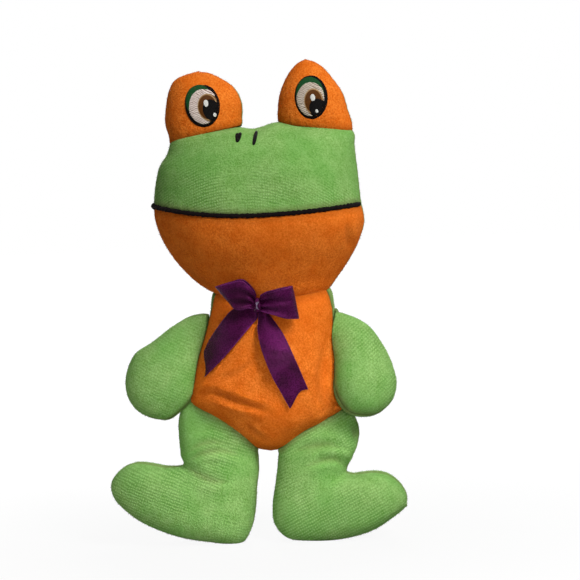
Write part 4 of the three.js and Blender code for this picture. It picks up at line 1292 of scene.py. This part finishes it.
# The tails: the ribbon between two edge curves, laid over the belly. It arches out below the knot, tilts and
# curls a little along its length, and ends in a slanting cut.
for side, tail in TAILS.items():
    across = np.linspace(0, 1, 29)[None, :]
    share = np.linspace(0, 1, 91)[:, None] * (1 - tail["notch"] * np.sin(np.pi * across**1.6))
    edge, other = catmull_rom(tail["edge"], share), catmull_rom(tail["other"], share)
    plan = edge * (1 - across[..., None]) + other * across[..., None]
    x, z = plan[..., 0], plan[..., 1]
    arch = TAIL_ARCH * np.exp(-(((share - 0.6) / 0.2) ** 2))
    arch = arch + TAIL_END_LIFT * np.exp(-(((share - 1) / 0.2) ** 2))
    arch = arch + tail["tilt"] * (1 - across) * np.exp(-(((share - 0.5) / 0.25) ** 2))
    curl = TAIL_CURL * np.sin(np.pi * across) * np.exp(-(((share - 0.25) / 0.25) ** 2))
    grid = np.stack([x, -front_of(body_rows, x, z) - 1 - arch - curl, z], -1)
    piece = ribbon_piece(f"bow_tail_ribbon_{side}", grid)
    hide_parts(f"bow_tail_{side}")

# Tying thread: thin grey-lilac thread stitched through the knot in turns that cross, so it shows as a small
# star on its front.
THREAD_RADIUS, THREAD_TURNS = 0.2, 4
grey_thread = yarn("grey lilac thread", "#4a4054", "#a79db4", 0.3)
wind = np.linspace(0, THREAD_TURNS * 2 * np.pi, 400)
tilt = 1.2 * np.sin(wind / 2 + 0.9) + 0.3 * np.sin(wind * 0.37)
thread_path = knot_centre + np.stack(
    [
        KNOT_HALF_WIDTH * 0.85 * np.sin(tilt) * np.cos(wind),
        (KNOT_HALF_DEPTH + 0.35) * np.sin(wind),
        KNOT_HALF_HEIGHT * 0.7 * np.cos(wind) * np.cos(tilt * 0.5),
    ],
    1,
)


def thread_radius(length, angle):
    """The same all along the thread and round it."""
    return THREAD_RADIUS * np.ones_like(length * angle)


thread = tube("bow_thread", thread_path, thread_radius, 8, grey_thread)
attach(thread, "torso")
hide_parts("bow_stitch")

# Studio: a paper floor under a large soft lamp above on the right, a weak one low in front and one behind,
# with pale light all round. Seen by the camera, mirrored or let through, the floor and the surroundings are
# white, and the floor keeps a faint shadow near the toy.
FLOOR_SIZE, SHADOW_REACH, GLOW, WORLD_LIGHT = 6, 0.5, 1.05, 0.22
floor_mesh = bpy.data.meshes.new("floor")
corners = [(x * FLOOR_SIZE, y * FLOOR_SIZE, 0) for x, y in ((-1, -1), (1, -1), (1, 1), (-1, 1))]
floor_mesh.from_pydata(corners, [], [(0, 1, 2, 3)])
floor = bpy.data.objects.new("floor", floor_mesh)
bpy.context.scene.collection.objects.link(floor)


def seen_directly(node):
    """1 for rays straight from the camera, mirrored or let through, and 0 for the light that surfaces give
    on: the sum of the three kinds, held at 1."""
    kinds = ("Is Camera Ray", "Is Glossy Ray", "Is Transmission Ray")
    camera_ray, glossy_ray, through_ray = (node("LightPath", output=kind) for kind in kinds)
    seen = node("Math", (camera_ray, glossy_ray), operation="ADD")
    seen = node("Math", (seen, through_ray), operation="ADD")
    return node("Math", (seen, 1), operation="MINIMUM")


paper, node, set_surface = new_material("white paper floor")
set_surface({"Roughness": 0.9, "Base Color": srgb("#8c8c8a")})
reach = node("VectorMath", (node("TexCoord", output="Object"),), "Value", operation="LENGTH")
shadow = node("MapRange", (reach, 0.1, SHADOW_REACH, 0.88, 1))
glow_share = node("Math", (seen_directly(node), shadow), operation="MULTIPLY")
glow = node("Emission", {"Color": (1, 1, 1, 1), "Strength": GLOW})
paper_nodes = paper.node_tree.nodes
both = node("MixShader", (glow_share, paper_nodes["Principled BSDF"].outputs["BSDF"], glow))
set_sockets(paper.node_tree, paper_nodes["Material Output"], {"Surface": both})
floor_mesh.materials.append(paper)

world = bpy.data.worlds.new("studio")
bpy.context.scene.world = world
world.use_nodes = True
node = partial(add_node, world.node_tree)
strength = node("MapRange", (seen_directly(node), 0, 1, WORLD_LIGHT, 1))
background = world.node_tree.nodes["Background"]
set_sockets(world.node_tree, background, {"Color": (1, 1, 1, 1), "Strength": strength})


def soft_lamp(name, place, aim, size, watts, spread):
    """A square area lamp that points at a height on the toy's middle line. spread is the width in degrees of
    its cone of light, which fades evenly from its middle to its rim."""
    lamp = bpy.data.objects.new(name, bpy.data.lights.new(name, "AREA"))
    lamp.data.size = size
    lamp.data.energy = watts
    lamp.data.spread = math.radians(spread)
    lamp.location = place
    lamp.rotation_mode = "QUATERNION"
    lamp.rotation_quaternion = (Vector((0, 0, aim)) - lamp.location).to_track_quat("-Z", "Y")
    bpy.context.scene.collection.objects.link(lamp)


soft_lamp("key lamp", (0.75, -0.85, 1.1), aim=0.15, size=0.5, watts=21.5, spread=180)
soft_lamp("low lamp", (-0.02, -0.85, 0.14), aim=0.034, size=0.2, watts=0.06, spread=19)
soft_lamp("back lamp", (0.1, 1.1, 0.9), aim=0.15, size=0.8, watts=9, spread=180)

bpy.context.scene.view_settings.view_transform = "Standard"
